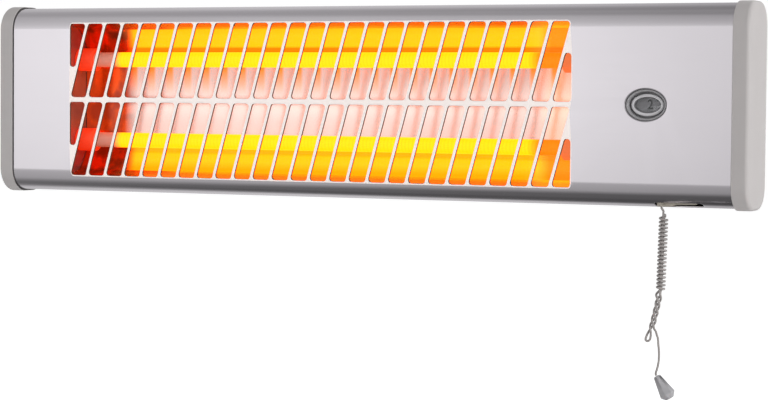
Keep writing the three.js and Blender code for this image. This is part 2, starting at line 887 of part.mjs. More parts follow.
const leverArmLeft = leverTipX - leverTipRadius / 2;
const leverOutline = [
  [leverArmLeft, leverBottomZ],
  [leverTipX + leverArmReach, leverBottomZ],
  [leverPivotX - leverKneeX, leverPivotZ - leverKneeZ],
  [leverPivotX, leverPivotZ - leverHubRadius + gap],
  [leverPivotX, leverPivotZ + leverHubRadius - gap],
  [leverTipX + leverArmReach, leverBottomZ + leverArmHeight],
  [leverArmLeft, leverBottomZ + leverArmTip],
];
place(
  housing,
  "switch_lever",
  cut(
    join(
      prismY(polygon(leverOutline), leverFront, leverRear),
      rodY(leverHubRadius, leverFront, leverRear, leverPivotX, leverPivotZ),
      rodZ(leverTipRadius, leverBottomZ, leverBottomZ + leverTipHeight, leverTipX, leverDepth),
    ),
    rodY(leverAxleRadius + gap, leverFront - overcut, leverRear + overcut, leverPivotX, leverPivotZ),
    rodZ(
      cordSocketRadius,
      leverBottomZ - overcut,
      cordBallZ + cordBallRadius + gap,
      leverTipX,
      leverDepth,
    ),
  ),
  leverPlastic,
);
place(
  housing,
  "return_spring",
  cut(
    rodY(springRadius, leverRear + gap, lobeDepth - gap, leverPivotX, leverPivotZ),
    rodY(leverAxleRadius + gap, leverRear, lobeDepth, leverPivotX, leverPivotZ),
  ),
  zincSteel,
);

// ---------------------------------------------------------------- wiring and small electrical parts

const blockX = windowX + blockAside;
const blockZ = flangeInnerZ - blockRoom - blockHeight / 2;
const block = {
  left: blockX - blockLength / 2,
  right: blockX + blockLength / 2,
  low: blockZ - blockHeight / 2,
  high: blockZ + blockHeight / 2,
  front: backInner - gap - blockDepth,
  rear: backInner - gap,
};
const poles = [-1, 0, 1].map((step) => (blockX + (step * blockLength) / 3));
place(
  housing,
  "terminal_block",
  cut(
    box(block.left, block.right, block.front, block.rear, block.low, block.high),
    ...poles.map((x) =>
      rodY(poleRadius, block.front - overcut, block.front + poleDepth, x, blockZ),
    ),
  ),
  switchPlastic,
);

const endPlateOuterX = tubeX + reflectorHalf + gap + reflectorEndSheet;
place(
  housing,
  "thermal_cutout",
  rodX(cutoutRadius, endPlateOuterX + gap, endPlateOuterX + gap + cutoutLength, tubeDepth, 0),
  mica,
);

const shieldX = endPlateOuterX + shieldRoom;
const shieldCut = [shieldX - overcut, shieldX + shieldThickness + overcut];
place(
  housing,
  "heat_shield",
  cut(
    prismX(bodyOutline(sheet + gap, shellDepth), shieldX, shieldX + shieldThickness),
    ...[tubeZ, -tubeZ].map((z) => rodX(shieldWireHole, ...shieldCut, tubeDepth, z)),
    ...[rearWireZ, -rearWireZ].map((z) => rodX(shieldRearWireHole, ...shieldCut, rearWireDepth, z)),
  ),
  mica,
);

const glandInner = backInner - glandInside;
const glandRear = bodyDepth + gap + glandReach;
place(
  housing,
  "cable_gland",
  cut(
    join(
      rodY(glandThread, glandInner, glandRear, glandX, 0),
      rodY(glandRadius, bodyDepth + gap, glandRear, glandX, 0),
    ),
    rodY(glandBore, glandInner - overcut, glandRear + overcut, glandX, 0),
  ),
  bezelPlastic,
);

const pinEnd = ceramicEnd + gap + reflectorEndSheet + ceramicNeckLength + pinReach;
const leftPinX = tubeX - pinEnd - gap;
const rightPinX = tubeX + pinEnd + gap;
const wires = {
  wire_upper_left: [
    [leftPinX, tubeDepth, tubeZ],
    [leftPinX - 4, tubeDepth, tubeZ],
    [leftPinX - 10, tubeDepth + 3.5, tubeZ + 8],
    [leftPinX - 8, rearWireDepth - 2, rearWireZ - 6],
    [leftPinX + 4, rearWireDepth, rearWireZ],
    [leftPinX + 20, rearWireDepth, rearWireZ],
    [-60, rearWireDepth, rearWireZ],
    [60, rearWireDepth, rearWireZ],
    [shieldX + 6, rearWireDepth, rearWireZ],
    [blockX - 12, rearWireDepth, rearWireZ - 1],
    [blockX - 4, rearWireDepth, block.high + 8],
    [blockX - 3, rearWireDepth, block.high + gap],
  ],
  wire_lower_left: [
    [leftPinX, tubeDepth, -tubeZ],
    [leftPinX - 4, tubeDepth, -tubeZ],
    [leftPinX - 10, tubeDepth + 3.5, -tubeZ - 8],
    [leftPinX - 8, rearWireDepth - 2, -rearWireZ + 6],
    [leftPinX + 4, rearWireDepth, -rearWireZ],
    [leftPinX + 20, rearWireDepth, -rearWireZ],
    [-60, rearWireDepth, -rearWireZ],
    [60, rearWireDepth, -rearWireZ],
    [shieldX + 6, rearWireDepth, -rearWireZ],
    [windowX - 12, rearWireDepth - 2, -rearWireZ + 3],
    [windowX - 2, rearWireDepth - 5, switchLowZ - 10],
    [windowX - 2, rearWireDepth - 5, switchLowZ - gap],
  ],
  wire_upper_right: [
    [rightPinX, tubeDepth, tubeZ],
    [rightPinX + 4, tubeDepth, tubeZ],
    [rightPinX + 9, tubeDepth + 2, tubeZ],
    [block.left - 5, tubeDepth + 8, tubeZ],
    [block.left - gap, tubeDepth + 8, tubeZ],
  ],
  wire_lower_right: [
    [rightPinX, tubeDepth, -tubeZ],
    [rightPinX + 4, tubeDepth, -tubeZ],
    [rightPinX + 9, tubeDepth, -tubeZ + 1],
    [switchLeft - 6, tubeDepth, -tubeZ + 8],
    [switchLeft - gap, tubeDepth, -tubeZ + 9],
  ],
  wire_feed: [
    [blockX + 6, 25, block.low - gap],
    [blockX + 6, 25, block.low - 4],
    [blockX + 4, 22, switchHighZ + 4],
    [blockX + 4, 22, switchHighZ + gap],
  ],
};
for (const [name, points] of Object.entries(wires)) {
  place(housing, name, cordTube(points, wireRadius, 2 * points.length, wireSides), wireJacket);
}

// ---------------------------------------------------------------- pull cord

const cordRadius = cordDiameter / 2;
place(
  cordGroup,
  "cord_ball",
  new THREE.SphereGeometry(cordBallRadius, 12, 8).rotateX(Math.PI / 2),
  brass,
);

// The cord is shortened by a winding: it runs down to an eye, back up, and then down again in turns round
// those two strands, and all three are twisted together below the turns.
const windingTop = -6.9; // below the ball's centre
const windingTurns = 19 + 1 / 6; // the last sixth leads into the twist
const windingLength = 45.5;
const windingStart = -2; // how far above the turns the winding's own tube begins
const windingAside = 1.05; // the axis is this far to the right of the ball at the top
const strandSpacing = 1.95; // centres of the two strands inside the turns
const turnRadius = 1.98; // of a turn's round ends, about each of the two strands
const turnStart = 0.65;
const lastTurnDrop = 1.6; // how far the last sixth of a turn comes down
const twistLength = 21.5;
const twistRadius = 1.28;
const twistTurns = 1 + 7 / 12;
const pairLength = 6.6; // the two strands of the eye, from the twist to the eye's round end
const pairTurns = 1 / 4;
const eyeHalfWidth = 1.4;
const axisLean = 0.028; // sideways fall of the winding's axis, per millimetre down
const swingLean = 0.23; // how much more it falls sideways at the bottom
const swingStart = 40; // how far down it begins to swing aside
const swingRadius = 8; // length over which it turns aside
const axisBack = strandSpacing / 2; // the axis hangs behind the strand that comes down
const leastGap = 0.4;

// A point at a distance down the winding's axis, and across it by u (sideways) and v (backwards).
function windingPoint(down, u, v) {
  const swing = Math.hypot(Math.max(0, down - swingStart), swingRadius) - swingRadius;
  const aside = windingAside - axisLean * down - swingLean * swing;
  return new THREE.Vector3(aside + u, axisBack + v, windingTop - down);
}

function smooth(share) {
  const s = Math.min(1, Math.max(0, share));
  return s * s * (3 - 2 * s);
}
const mix = (a, b, share) => a + (b - a) * share;
const degrees = Math.PI / 180;
const coreRadius = strandSpacing / 2;
const settle = 4; // length over which the strands move from the turns into the twist
const twistTurned = (down) => (360 * twistTurns * Math.max(0, down - windingLength)) / twistLength;
const intoTwist = (down) => smooth((down - windingLength) / settle);

// A strand of the eye inside the turns and in the twist, from its two angles there.
function coreStrand(down, coreAngle, twistAngle) {
  const share = intoTwist(down);
  const moved = smooth((2 * (down - windingLength)) / settle); // aside, ahead of the turning strand
  const angle = (mix(coreAngle, twistAngle, moved) + twistTurned(down)) * degrees;
  const radius = mix(coreRadius, twistRadius, share);
  return windingPoint(down, radius * Math.cos(angle), radius * Math.sin(angle));
}

// The same two strands below the twist, where they open into the eye. side is -1 or 1.
const twistEnd = windingLength + twistLength;
const pairAside = -twistRadius / 2;
const pairRadius = twistRadius * Math.sin(60 * degrees);
function pairStrand(down, side) {
  const share = (down - twistEnd) / pairLength;
  const angle = (180 + side * 90) * degrees + Math.min(1, share * 1.6) * pairTurns * 360 * degrees;
  const radius = mix(pairRadius, eyeHalfWidth, smooth((share - 0.45) / 0.55));
  return windingPoint(down, pairAside + radius * Math.cos(angle), radius * Math.sin(angle));
}

// The strand that makes the turns: round both ends of an oblong, which leaves room for the two strands
// inside, and below the turns into the twist.
function turnStrand(down, turned) {
  const share = intoTwist(down);
  const angle = (90 + turned) * degrees;
  const [across, back] = [Math.cos(angle), Math.sin(angle)];
  const towardsEnd = Math.min(1, Math.max(-1, 2 * back)) * coreRadius;
  const u = mix(turnRadius * across, twistRadius * across, share);
  const v = mix(turnRadius * back + towardsEnd, twistRadius * back, share);
  const swung = twistTurned(down) * degrees;
  return windingPoint(
    down,
    u * Math.cos(swung) - v * Math.sin(swung),
    u * Math.sin(swung) + v * Math.cos(swung),
  );
}

// How far down the turning strand is: evenly for the whole turns, then faster towards the twist.
const wholeTurns = Math.floor(windingTurns) * 360;
const turnsEnd = windingTurns * 360;
function turnDown(turned) {
  const lastStart = windingLength - lastTurnDrop;
  if (turned <= wholeTurns) return mix(turnStart, lastStart, turned / wholeTurns);
  const share = (turned - wholeTurns) / (turnsEnd - wholeTurns);
  return mix(lastStart, windingLength, 0.3 * share + 0.7 * share ** 2);
}

const windingPath = [];
const push = (from, to, count, at) => {
  for (let step = 0; step < count; step++) windingPath.push(at(from + ((to - from) * step) / count));
};
const straightSteps = Math.ceil(windingLength / (3 * cordDiameter));
const twistSteps = 16;
const pairSteps = 8;
const bendSteps = 8;
const stepsPerTurn = 18;
const eyeDown = twistEnd + pairLength;

push(windingStart, 0, 2, (down) => coreStrand(down, -90, -90));
push(0, windingLength, straightSteps, (down) => coreStrand(down, -90, -90));
push(windingLength, twistEnd, twistSteps, (down) => coreStrand(down, -90, -90));
push(twistEnd, eyeDown, pairSteps, (down) => pairStrand(down, -1));
push(180, 360, bendSteps, (angle) => {
  const [across, drop] = [Math.cos(angle * degrees), -Math.sin(angle * degrees)];
  return windingPoint(eyeDown + eyeHalfWidth * drop, pairAside + eyeHalfWidth * across, 0);
});
push(eyeDown, twistEnd, pairSteps, (down) => pairStrand(down, 1));
push(twistEnd, windingLength, twistSteps, (down) => coreStrand(down, 90, 30));
push(windingLength, 0, straightSteps, (down) => coreStrand(down, 90, 30));
const overHalf = turnRadius / 2;
push(180, 0, bendSteps, (angle) => {
  const [back, rise] = [Math.cos(angle * degrees), Math.sin(angle * degrees)];
  return windingPoint(-0.6 * overHalf * rise, 0, coreRadius + overHalf + overHalf * back);
});
push(0, turnsEnd, Math.round(windingTurns * stepsPerTurn), (turned) =>
  turnStrand(turnDown(turned), turned),
);
push(windingLength, twistEnd, twistSteps, (down) => turnStrand(down, turnsEnd));

// The last strand leaves the twist on its own, and ends straight in the line of the free tail.
const tailDirection = new THREE.Vector3(0.32, 0, -0.947).normalize();
const leaving = turnStrand(twistEnd, turnsEnd);
const parting = [
  [0.5, -0.9],
  [1.25, -1.95],
].map(([aside, drop]) => leaving.clone().add(new THREE.Vector3(aside, 0, drop)));
const windingEnd = parting[1].clone().addScaledVector(tailDirection, 1.5 * cordDiameter);
windingPath.push(leaving, ...parting, windingEnd);

// A tube through a list of points, with flat ends square to its first and last steps.
function sweptTube(points, radius, sides) {
  const last = points.length - 1;
  const tangents = points.map((_, i) =>
    points[Math.min(i + 1, last)].clone().sub(points[Math.max(i - 1, 0)]).normalize(),
  );
  const normal = new THREE.Vector3(0, 1, 0);
  const vertices = [];
  points.forEach((point, i) => {
    normal.addScaledVector(tangents[i], -normal.dot(tangents[i])).normalize();
    const side = new THREE.Vector3().crossVectors(tangents[i], normal);
    for (let corner = 0; corner < sides; corner++) {
      const angle = (2 * Math.PI * corner) / sides;
      const vertex = point.clone().addScaledVector(normal, radius * Math.cos(angle));
      vertices.push(...vertex.addScaledVector(side, radius * Math.sin(angle)).toArray());
    }
  });
  const faces = [];
  for (let i = 0; i < last; i++) {
    for (let corner = 0; corner < sides; corner++) {
      const [a, b] = [i * sides + corner, i * sides + ((corner + 1) % sides)];
      faces.push(a, b, b + sides, a, b + sides, a + sides);
    }
  }
  for (let corner = 1; corner < sides - 1; corner++) {
    faces.push(0, corner + 1, corner);
    faces.push(last * sides, last * sides + corner, last * sides + corner + 1);
  }
  const geometry = new THREE.BufferGeometry();
  geometry.setAttribute("position", new THREE.Float32BufferAttribute(vertices, 3));
  geometry.setIndex(faces);
  const flat = geometry.toNonIndexed();
  flat.computeVertexNormals();
  return flat;
}

// The least gap between parts of a tube that aren't next to each other along it.
function gapToItself(points, diameter) {
  const spacing = 0.35;
  const samples = [];
  let travelled = 0;
  for (let i = 0; i + 1 < points.length; i++) {
    const length = points[i].distanceTo(points[i + 1]);
    const parts = Math.max(1, Math.ceil(length / spacing));
    for (let part = 0; part < parts; part++) {
      const at = points[i].clone().lerp(points[i + 1], part / parts);
      samples.push({ at, along: travelled + (length * part) / parts });
    }
    travelled += length;
  }
  let least = Infinity;
  samples.forEach((one, i) => {
    for (const other of samples.slice(i + 1)) {
      if (other.along - one.along < 2 * diameter) continue;
      least = Math.min(least, one.at.distanceTo(other.at) - diameter);
    }
  });
  return { least, length: travelled };
}

const wound = gapToItself(windingPath, cordDiameter);
console.log(`winding: ${wound.length.toFixed(1)} mm of cord`);
console.log(`winding: least gap to itself ${wound.least.toFixed(2)} mm`);
if (wound.least < leastGap) console.log("winding: its turns lie closer than they should");
place(cordGroup, "cord_winding", sweptTube(windingPath, cordRadius, 6), cordTextile);

const dropEnd = windingPath[0].clone().add(new THREE.Vector3(0, 0, gap));
const dropPoints = [
  [0, 0, -cordBallRadius - gap],
  [0, 0, -cordBallRadius - gap - 0.7],
  [dropEnd.x, dropEnd.y, dropEnd.z + 0.7],
  dropEnd.toArray(),
];
place(cordGroup, "cord_drop", cordTube(dropPoints, cordRadius, 4, cordSides), cordTextile);

// The free tail below the winding, down to the knob's top face, which it meets square.
const knobTop = new THREE.Vector3(-2, axisBack, -102.5);
const knobDirection = new THREE.Vector3(0.55, 0, -0.835).normalize();
const tailStart = windingEnd.clone().addScaledVector(tailDirection, gap);
const tailSecond = tailStart.clone().addScaledVector(tailDirection, 2);
const tailEnd = knobTop.clone().addScaledVector(knobDirection, -gap);
const tailPoints = [
  tailStart.toArray(),
  tailSecond.toArray(),
  [-1.2, axisBack, -83.6],
  [-0.85, axisBack, -86.5],
  [-0.7, axisBack, -89.5],
  [-0.8, axisBack, -93],
  [-1.2, axisBack, -95.7],
  [-1.75, axisBack, -98.1],
  [-2.3, axisBack, -99.8],
  [-2.55, axisBack, -100.6],
  [-2.5, axisBack, -101.5],
  tailEnd.toArray(),
];
place(cordGroup, "cord_tail", cordTube(tailPoints, cordRadius, 16, cordSides), cordTextile);

const knobProfile = [
  [0, -knobLength],
  [knobFootRadius, -knobLength],
  [knobRadius, -knobLength + knobFootBevel],
  [knobTopRadius, -knobShoulder],
  [knobTopRadius - knobShoulderBevel, 0],
  [0, 0],
].map(([r, along]) => new THREE.Vector2(r, along));
const knob = place(
  cordGroup,
  "pull_knob",
  new THREE.LatheGeometry(knobProfile, knobSides),
  knobPlastic,
);
knob.quaternion.setFromUnitVectors(axisY.clone().negate(), knobDirection);
knob.position.copy(knobTop);

// ---------------------------------------------------------------- wall bracket and tilt pivots

const halfBracket = bracketLength / 2;
const keyholes = [-keyholeX, keyholeX].flatMap((x) => [
  rodY(keyholeHeadRadius, -bracketSheet - overcut, overcut, x, -keyholeRise / 2),
  box(
    x - keyholeSlotRadius,
    x + keyholeSlotRadius,
    -bracketSheet - overcut,
    overcut,
    -keyholeRise / 2,
    keyholeRise / 2,
  ),
  rodY(keyholeSlotRadius, -bracketSheet - overcut, overcut, x, keyholeRise / 2),
]);
const wallEars = [-halfBracket, halfBracket - bracketSheet].map((x) =>
  prismX(
    earOutline(-bracketSheet / 2, earRootHeight / 2, -pivotToWall, -1),
    x,
    x + bracketSheet,
    earSegments,
  ),
);
place(
  wallMount,
  "wall_bracket",
  cut(
    join(
      box(-halfBracket, halfBracket, -bracketSheet, 0, -bracketHeight / 2, bracketHeight / 2),
      ...wallEars,
    ),
    rodX(pivotRadius + gap, -halfBracket - overcut, halfBracket + overcut, -pivotToWall, 0),
    ...keyholes,
  ),
  zincSteel,
);

const boltHead = halfBracket + gap + bracketSheet + gap; // under the head, from the middle
const nutOuter = halfBracket - bracketSheet - gap;
for (const [side, turned] of bothSides) {
  const bolt = join(
    rodX(pivotHeadRadius, boltHead, boltHead + pivotHeadLength, -pivotToWall, 0),
    rodX(pivotRadius, nutOuter - nutLength - boltPastNut, boltHead + pivotHeadLength, -pivotToWall, 0),
  );
  place(wallMount, `pivot_bolt_${side}`, turned(bolt), zincSteel);
  const hexagon = [];
  for (let corner = 0; corner < 6; corner++) {
    const angle = (Math.PI * corner) / 3;
    hexagon.push([-pivotToWall + nutRadius * Math.cos(angle), nutRadius * Math.sin(angle)]);
  }
  const nut = cut(
    prismX(polygon(hexagon), nutOuter - nutLength, nutOuter),
    rodX(pivotRadius + gap, nutOuter - nutLength - overcut, nutOuter + overcut, -pivotToWall, 0),
  );
  place(wallMount, `pivot_nut_${side}`, turned(nut), zincSteel);
}

export default heater;
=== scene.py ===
from math import acos, asin, atan2, ceil, copysign, cos, degrees, hypot, pi, radians, sin, sqrt, tan

import bmesh
import bpy
from mathutils import Matrix, Vector
from mathutils.geometry import delaunay_2d_cdt

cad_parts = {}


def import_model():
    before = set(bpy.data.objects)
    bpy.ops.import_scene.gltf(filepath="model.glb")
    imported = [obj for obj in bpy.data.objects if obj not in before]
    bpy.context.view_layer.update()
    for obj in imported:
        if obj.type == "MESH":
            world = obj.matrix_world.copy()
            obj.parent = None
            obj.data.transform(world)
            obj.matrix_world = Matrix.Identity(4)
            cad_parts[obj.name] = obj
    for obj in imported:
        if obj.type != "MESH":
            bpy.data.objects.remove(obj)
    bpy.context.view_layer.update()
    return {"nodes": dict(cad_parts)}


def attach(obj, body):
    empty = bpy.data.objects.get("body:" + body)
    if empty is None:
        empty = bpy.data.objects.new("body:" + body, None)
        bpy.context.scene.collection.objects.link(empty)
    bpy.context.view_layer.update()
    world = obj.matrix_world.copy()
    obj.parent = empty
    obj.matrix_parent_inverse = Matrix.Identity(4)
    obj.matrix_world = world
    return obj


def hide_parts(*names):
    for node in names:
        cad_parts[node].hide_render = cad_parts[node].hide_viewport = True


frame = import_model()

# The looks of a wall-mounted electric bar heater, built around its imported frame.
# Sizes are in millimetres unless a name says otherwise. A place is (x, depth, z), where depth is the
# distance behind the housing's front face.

scene = bpy.context.scene

MM = 0.001
GAP = 0.3

# ---- sizes

HALF_PANEL = 246.75
HALF_HEIGHT = 60.5
BODY_DEPTH = 37.5
FRONT_TO_WALL = 84.0
SHEET = 1.0
FRONT_RADIUS = 14.5
REAR_RADIUS = 13.0
BACK_FLANGE = 13.0
SHELL_DEPTH = BODY_DEPTH - SHEET - GAP

GRILLE_LEFT = -202.2
GRILLE_RIGHT = 147.4
SLOT_PITCH = 13.5
SLOT_WIDTH = 11.0
ROW_HEIGHT = 48.2
ROW_GAP = 3.3
FIRST_BAR = 12.7
SMALLEST_SLOT = 2.5

TUBE_X = (GRILLE_LEFT + GRILLE_RIGHT) / 2
TUBE_Z = 26.5
TUBE_DEPTH = 17.5
TUBE_RADIUS = 4.9
TUBE_LENGTH = 339.4
COIL_LENGTH = 300.4

WINDOW_X = 194.3
DIAL_Z = -11.0
LEVER_PIVOT = (226.0, -48.8)
LEVER_TIP_X = 202.0
LEVER_DEPTH = 9.5
LEVER_BOTTOM_Z = -60.0
BALL = Vector((202.0, 9.5, -58.8))
BALL_RADIUS = 1.3
CORD_RADIUS = 0.7

PIVOT_TO_WALL = 36.0
PIVOT_DEPTH = FRONT_TO_WALL - PIVOT_TO_WALL
HALF_BRACKET = 101.5
GLAND_X = 222.0
GLAND_HOLE = 6.8


def to_metres(point):
    """A place in millimetres, (x, depth, z), in the frame's metres."""
    return Vector((point[0], point[1] - FRONT_TO_WALL, point[2])) * MM


def added(name, data):
    """A new object in the scene."""
    made = bpy.data.objects.new(name, data)
    scene.collection.objects.link(made)
    return made


# ---- camera

CAMERA_PLACE = Vector((619.66, -1399.96, 4.45)) * MM
FOCAL_PIXELS = 2328.3
PHOTO_WIDTH = 768.0
SENSOR_MM = 36.0
YAW, PITCH, ROLL = (radians(a) for a in (24.3, 2.574, 0.48))

camera_data = bpy.data.cameras.new("camera")
camera_data.sensor_width = SENSOR_MM
camera_data.lens = FOCAL_PIXELS / PHOTO_WIDTH * SENSOR_MM
camera = added("camera", camera_data)
forward = Vector((-sin(YAW) * cos(PITCH), cos(YAW) * cos(PITCH), -sin(PITCH)))
level = forward.cross(Vector((0, 0, 1))).normalized()
upright = level.cross(forward)
right = level * cos(ROLL) + upright * sin(ROLL)
up = right.cross(forward)
turned = Matrix((right, up, -forward)).transposed()
camera.matrix_world = Matrix.Translation(CAMERA_PLACE) @ turned.to_4x4()
scene.camera = camera


# ---- outlines
# An outline is a list of (u, v, normal u, normal v), counter-clockwise, with its normals pointing out.


def polar(angle, radius=1.0):
    """The point at an angle in degrees and a radius, about the origin."""
    return radius * cos(radians(angle)), radius * sin(radians(angle))


def rotated(u, v, angle):
    c, s = polar(angle)
    return u * c - v * s, u * s + v * c


def arc(u, v, radius, start, end, steps):
    points = []
    for i in range(steps + 1):
        c, s = polar(start + (end - start) * i / steps)
        points.append((u + radius * c, v + radius * s, c, s))
    return points


def circle(radius, steps, u=0.0, v=0.0):
    return arc(u, v, radius, 0, 360, steps)[:-1]


def ellipse(length, height, steps, u=0.0, v=0.0):
    a, b = length / 2, height / 2
    points = []
    for c, s, _, _ in circle(1.0, steps):
        normal = Vector((c / a, s / b)).normalized()
        points.append((u + a * c, v + b * s, normal.x, normal.y))
    return points


def rounded(corners, radius, steps=5):
    """A counter-clockwise polygon with rounded corners. A radius is limited by the edges beside it."""
    points = []
    count = len(corners)
    for i, corner in enumerate(corners):
        here = Vector(corner)
        back = Vector(corners[i - 1]) - here
        on = Vector(corners[(i + 1) % count]) - here
        half = back.angle(on) / 2
        reach = min(radius / tan(half), 0.45 * back.length, 0.45 * on.length)
        fitted = reach * tan(half)
        centre = here + (back.normalized() + on.normalized()).normalized() * (fitted / sin(half))
        turn = 180 - degrees(2 * half)
        bulge = 1 if back.x * on.y - back.y * on.x < 0 else -1
        start = degrees(atan2(back.x * bulge, -back.y * bulge))
        bend = arc(centre.x, centre.y, fitted, start, start + bulge * turn, steps)
        points += [(u, v, nu * bulge, nv * bulge) for u, v, nu, nv in bend]
    return points


def rectangle(start, end, low, high, radius=0.0, steps=5):
    if radius:
        return rounded([(start, low), (end, low), (end, high), (start, high)], radius, steps)
    return [(start, low, -1, -1), (end, low, 1, -1), (end, high, 1, 1), (start, high, -1, 1)]


def round_holes(radius, places, steps=20, rim=0.0):
    return [(circle(radius, steps, u, v), rim) for u, v in places]


def offset(outline, distance):
    return [(u + nu * distance, v + nv * distance) for u, v, nu, nv in outline]


# ---- mesh builders


def bridge(bm, ring, following):
    count = len(ring)
    for i in range(count):
        corners = [ring[i], ring[(i + 1) % count], following[(i + 1) % count], following[i]]
        corners = [c for k, c in enumerate(corners) if c not in corners[:k]]
        if len(corners) > 2:
            bm.faces.new(corners)


FLATTEST_RIM = 0.45  # a wider rounding is no deeper than this


def plate(outer, holes, front, rear, rim=0.0, rear_rim=0.0, rim_steps=3):
    """A flat plate in (u, v, w), w from front to rear, with holes of (outline, rim). A rim is rounded."""
    bm = bmesh.new()
    fronts, rears = [], []
    for outline, roll, sign in [(outer, rim, -1)] + [(hole, hole_rim, 1) for hole, hole_rim in holes]:
        back_roll = min(rear_rim, roll)
        profile = []
        for i in range(rim_steps + 1 if roll else 1):
            c, s = polar(90 * i / rim_steps)
            profile.append((roll * (1 - s), front + min(roll, FLATTEST_RIM) * (1 - c)))
        for i in range(rim_steps + 1 if back_roll else 1):
            c, s = polar(90 - 90 * i / rim_steps)
            profile.append((back_roll * (1 - s), rear - back_roll * (1 - c)))
        rings = []
        for inset, w in profile:
            rings.append([bm.verts.new((u, v, w)) for u, v in offset(outline, sign * inset)])
        for ring, following in zip(rings, rings[1:]):
            bridge(bm, ring, following)
        fronts.append(rings[0])
        rears.append(rings[-1])
    for boundary in (fronts, rears):
        fill(bm, boundary)
    return bm


def fill(bm, boundary, flat=lambda vertex: vertex.co.xy):
    """Flat faces between an outer ring of vertices and its holes."""
    corners = [vertex for ring in boundary for vertex in ring]
    outlines, start = [], 0
    for ring in boundary:
        outlines.append(list(range(start, start + len(ring))))
        start += len(ring)
    places = [flat(vertex) for vertex in corners]
    _, _, faces, originals, _, _ = delaunay_2d_cdt(places, [], outlines, 2, 1e-7)
    for face in faces:
        bm.faces.new([corners[originals[i][0]] for i in face])


def cut_along(bm, lines):
    """Adds edges at each of these values of v, so that a flat plate can be bent there."""
    for v in lines:
        geometry = bm.verts[:] + bm.edges[:] + bm.faces[:]
        bmesh.ops.bisect_plane(bm, geom=geometry, dist=1e-5, plane_co=(0, v, 0), plane_no=(0, 1, 0))


def loft(rings, closed=False):
    """A skin over rings of points. A ring of one point closes the end; an open end gets a flat face."""
    bm = bmesh.new()
    made = [[bm.verts.new(point) for point in ring] for ring in rings]
    for ring, following in zip(made, made[1:] + ([made[0]] if closed else [])):
        if len(ring) == 1:
            ring = ring * len(following)
        if len(following) == 1:
            following = following * len(ring)
        bridge(bm, ring, following)
    if not closed:
        for ring in (made[0], made[-1]):
            if len(ring) > 2:
                bm.faces.new(ring)
    return bm


def lathe(profile, place, steps=32, closed=False):
    """A turned solid. profile is (along, radius), and place maps (along, across, up) to a point."""
    rings = []
    for along, radius in profile:
        ring = circle(radius, steps) if radius else [(0, 0, 0, 0)]
        rings.append([place(along, across, rise) for across, rise, _, _ in ring])
    return loft(rings, closed)


def sweep(points, section, sides):
    """A tube along points. section(distance, angle) is its radius there."""
    last = len(points) - 1
    normal = Vector((0, 1, 0))
    rings, travelled = [], 0.0
    for i, point in enumerate(points):
        if i:
            travelled += (point - points[i - 1]).length
        tangent = (points[min(i + 1, last)] - points[max(i - 1, 0)]).normalized()
        normal = (normal - tangent * normal.dot(tangent)).normalized()
        side = tangent.cross(normal)
        ring = []
        for k in range(sides):
            angle = 2 * pi * k / sides
            radius = section(travelled, angle)
            ring.append(point + (normal * cos(angle) + side * sin(angle)) * radius)
        rings.append(ring)
    return loft(rings)


def along_x(y, z):
    return lambda along, across, rise: (along, y + across, z + rise)


def along_y(x, z):
    return lambda along, across, rise: (x + across, along, z + rise)


def along_z(x, y):
    return lambda along, across, rise: (x + across, y + rise, along)


def facing_front(u, v, w):
    return (u, w, v)


def facing_right(u, v, w):
    return (w, u, v)


def moved(bm, place):
    """The mesh with each of its points where place puts it."""
    for vertex in bm.verts:
        vertex.co = place(*vertex.co)
    return bm


def mirrored(bm):
    return moved(bm, lambda x, y, z: (-x, y, z))


def joined(*parts):
    whole = bmesh.new()
    for bm in parts:
        mesh = bpy.data.meshes.new("part")
        bm.to_mesh(mesh)
        bm.free()
        whole.from_mesh(mesh)
        bpy.data.meshes.remove(mesh)
    return whole


def carried(name, mesh, looks, body):
    """An object that rides on a body, with the materials of its looks."""
    for look in looks:
        mesh.materials.append(look.material)
    made = added(name, mesh)
    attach(made, body)
    return made


def piece(name, bm, looks, replaced, body="housing", place=None, sharp=35.0, weighted=False):
    """A piece of the object, from a mesh in millimetres, in place of the nodes named in replaced."""
    moved(bm, lambda *point: to_metres(place(*point) if place else point))
    bmesh.ops.recalc_face_normals(bm, faces=bm.faces[:])
    mesh = bpy.data.meshes.new(name)
    bm.to_mesh(mesh)
    bm.free()
    mesh.polygons.foreach_set("use_smooth", [True] * len(mesh.polygons))
    mesh.set_sharp_from_angle(angle=radians(sharp))
    made = carried(name, mesh, looks if isinstance(looks, tuple) else (looks,), body)
    if weighted:
        made.modifiers.new("even_shading", "WEIGHTED_NORMAL").keep_sharp = True
    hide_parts(*replaced.split())
    return made


# ---- materials


class Nodes:
    """Helpers for a tree of shader nodes. A value given to a socket is a link, a number or a colour."""

    def __init__(self, owner):
        owner.use_nodes = True
        self.nodes, self.links = owner.node_tree.nodes, owner.node_tree.links

    def put(self, value, socket):
        if isinstance(value, bpy.types.NodeSocket):
            self.links.new(value, socket)
        else:
            socket.default_value = (*value, 1) if socket.type == "RGBA" else value

    def node(self, kind, **settings):
        made = self.nodes.new("ShaderNode" + kind)
        for key, value in settings.items():
            if key in made.inputs:
                self.put(value, made.inputs[key])
            else:
                setattr(made, key, value)
        return made

    def ranged(self, value, low, high, to_low=0.0, to_high=1.0):
        made = self.node("MapRange", Value=value)
        for socket, given in zip(made.inputs[1:5], (low, high, to_low, to_high)):
            socket.default_value = given
        return made.outputs["Result"]

    def scaled(self, value, low, high):
        return self.ranged(value, 0, 1, low, high)

    def maths(self, operation, *values):
        made = self.node("Math", operation=operation)
        for value, socket in zip(values, made.inputs):
            self.put(value, socket)
        return made.outputs[0]

    def mixed(self, factor, first, second, blend="MIX"):
        made = self.node("Mix", data_type="RGBA", blend_type=blend)
        for value, index in ((factor, 0), (first, 6), (second, 7)):
            self.put(value, made.inputs[index])
        return made.outputs[2]


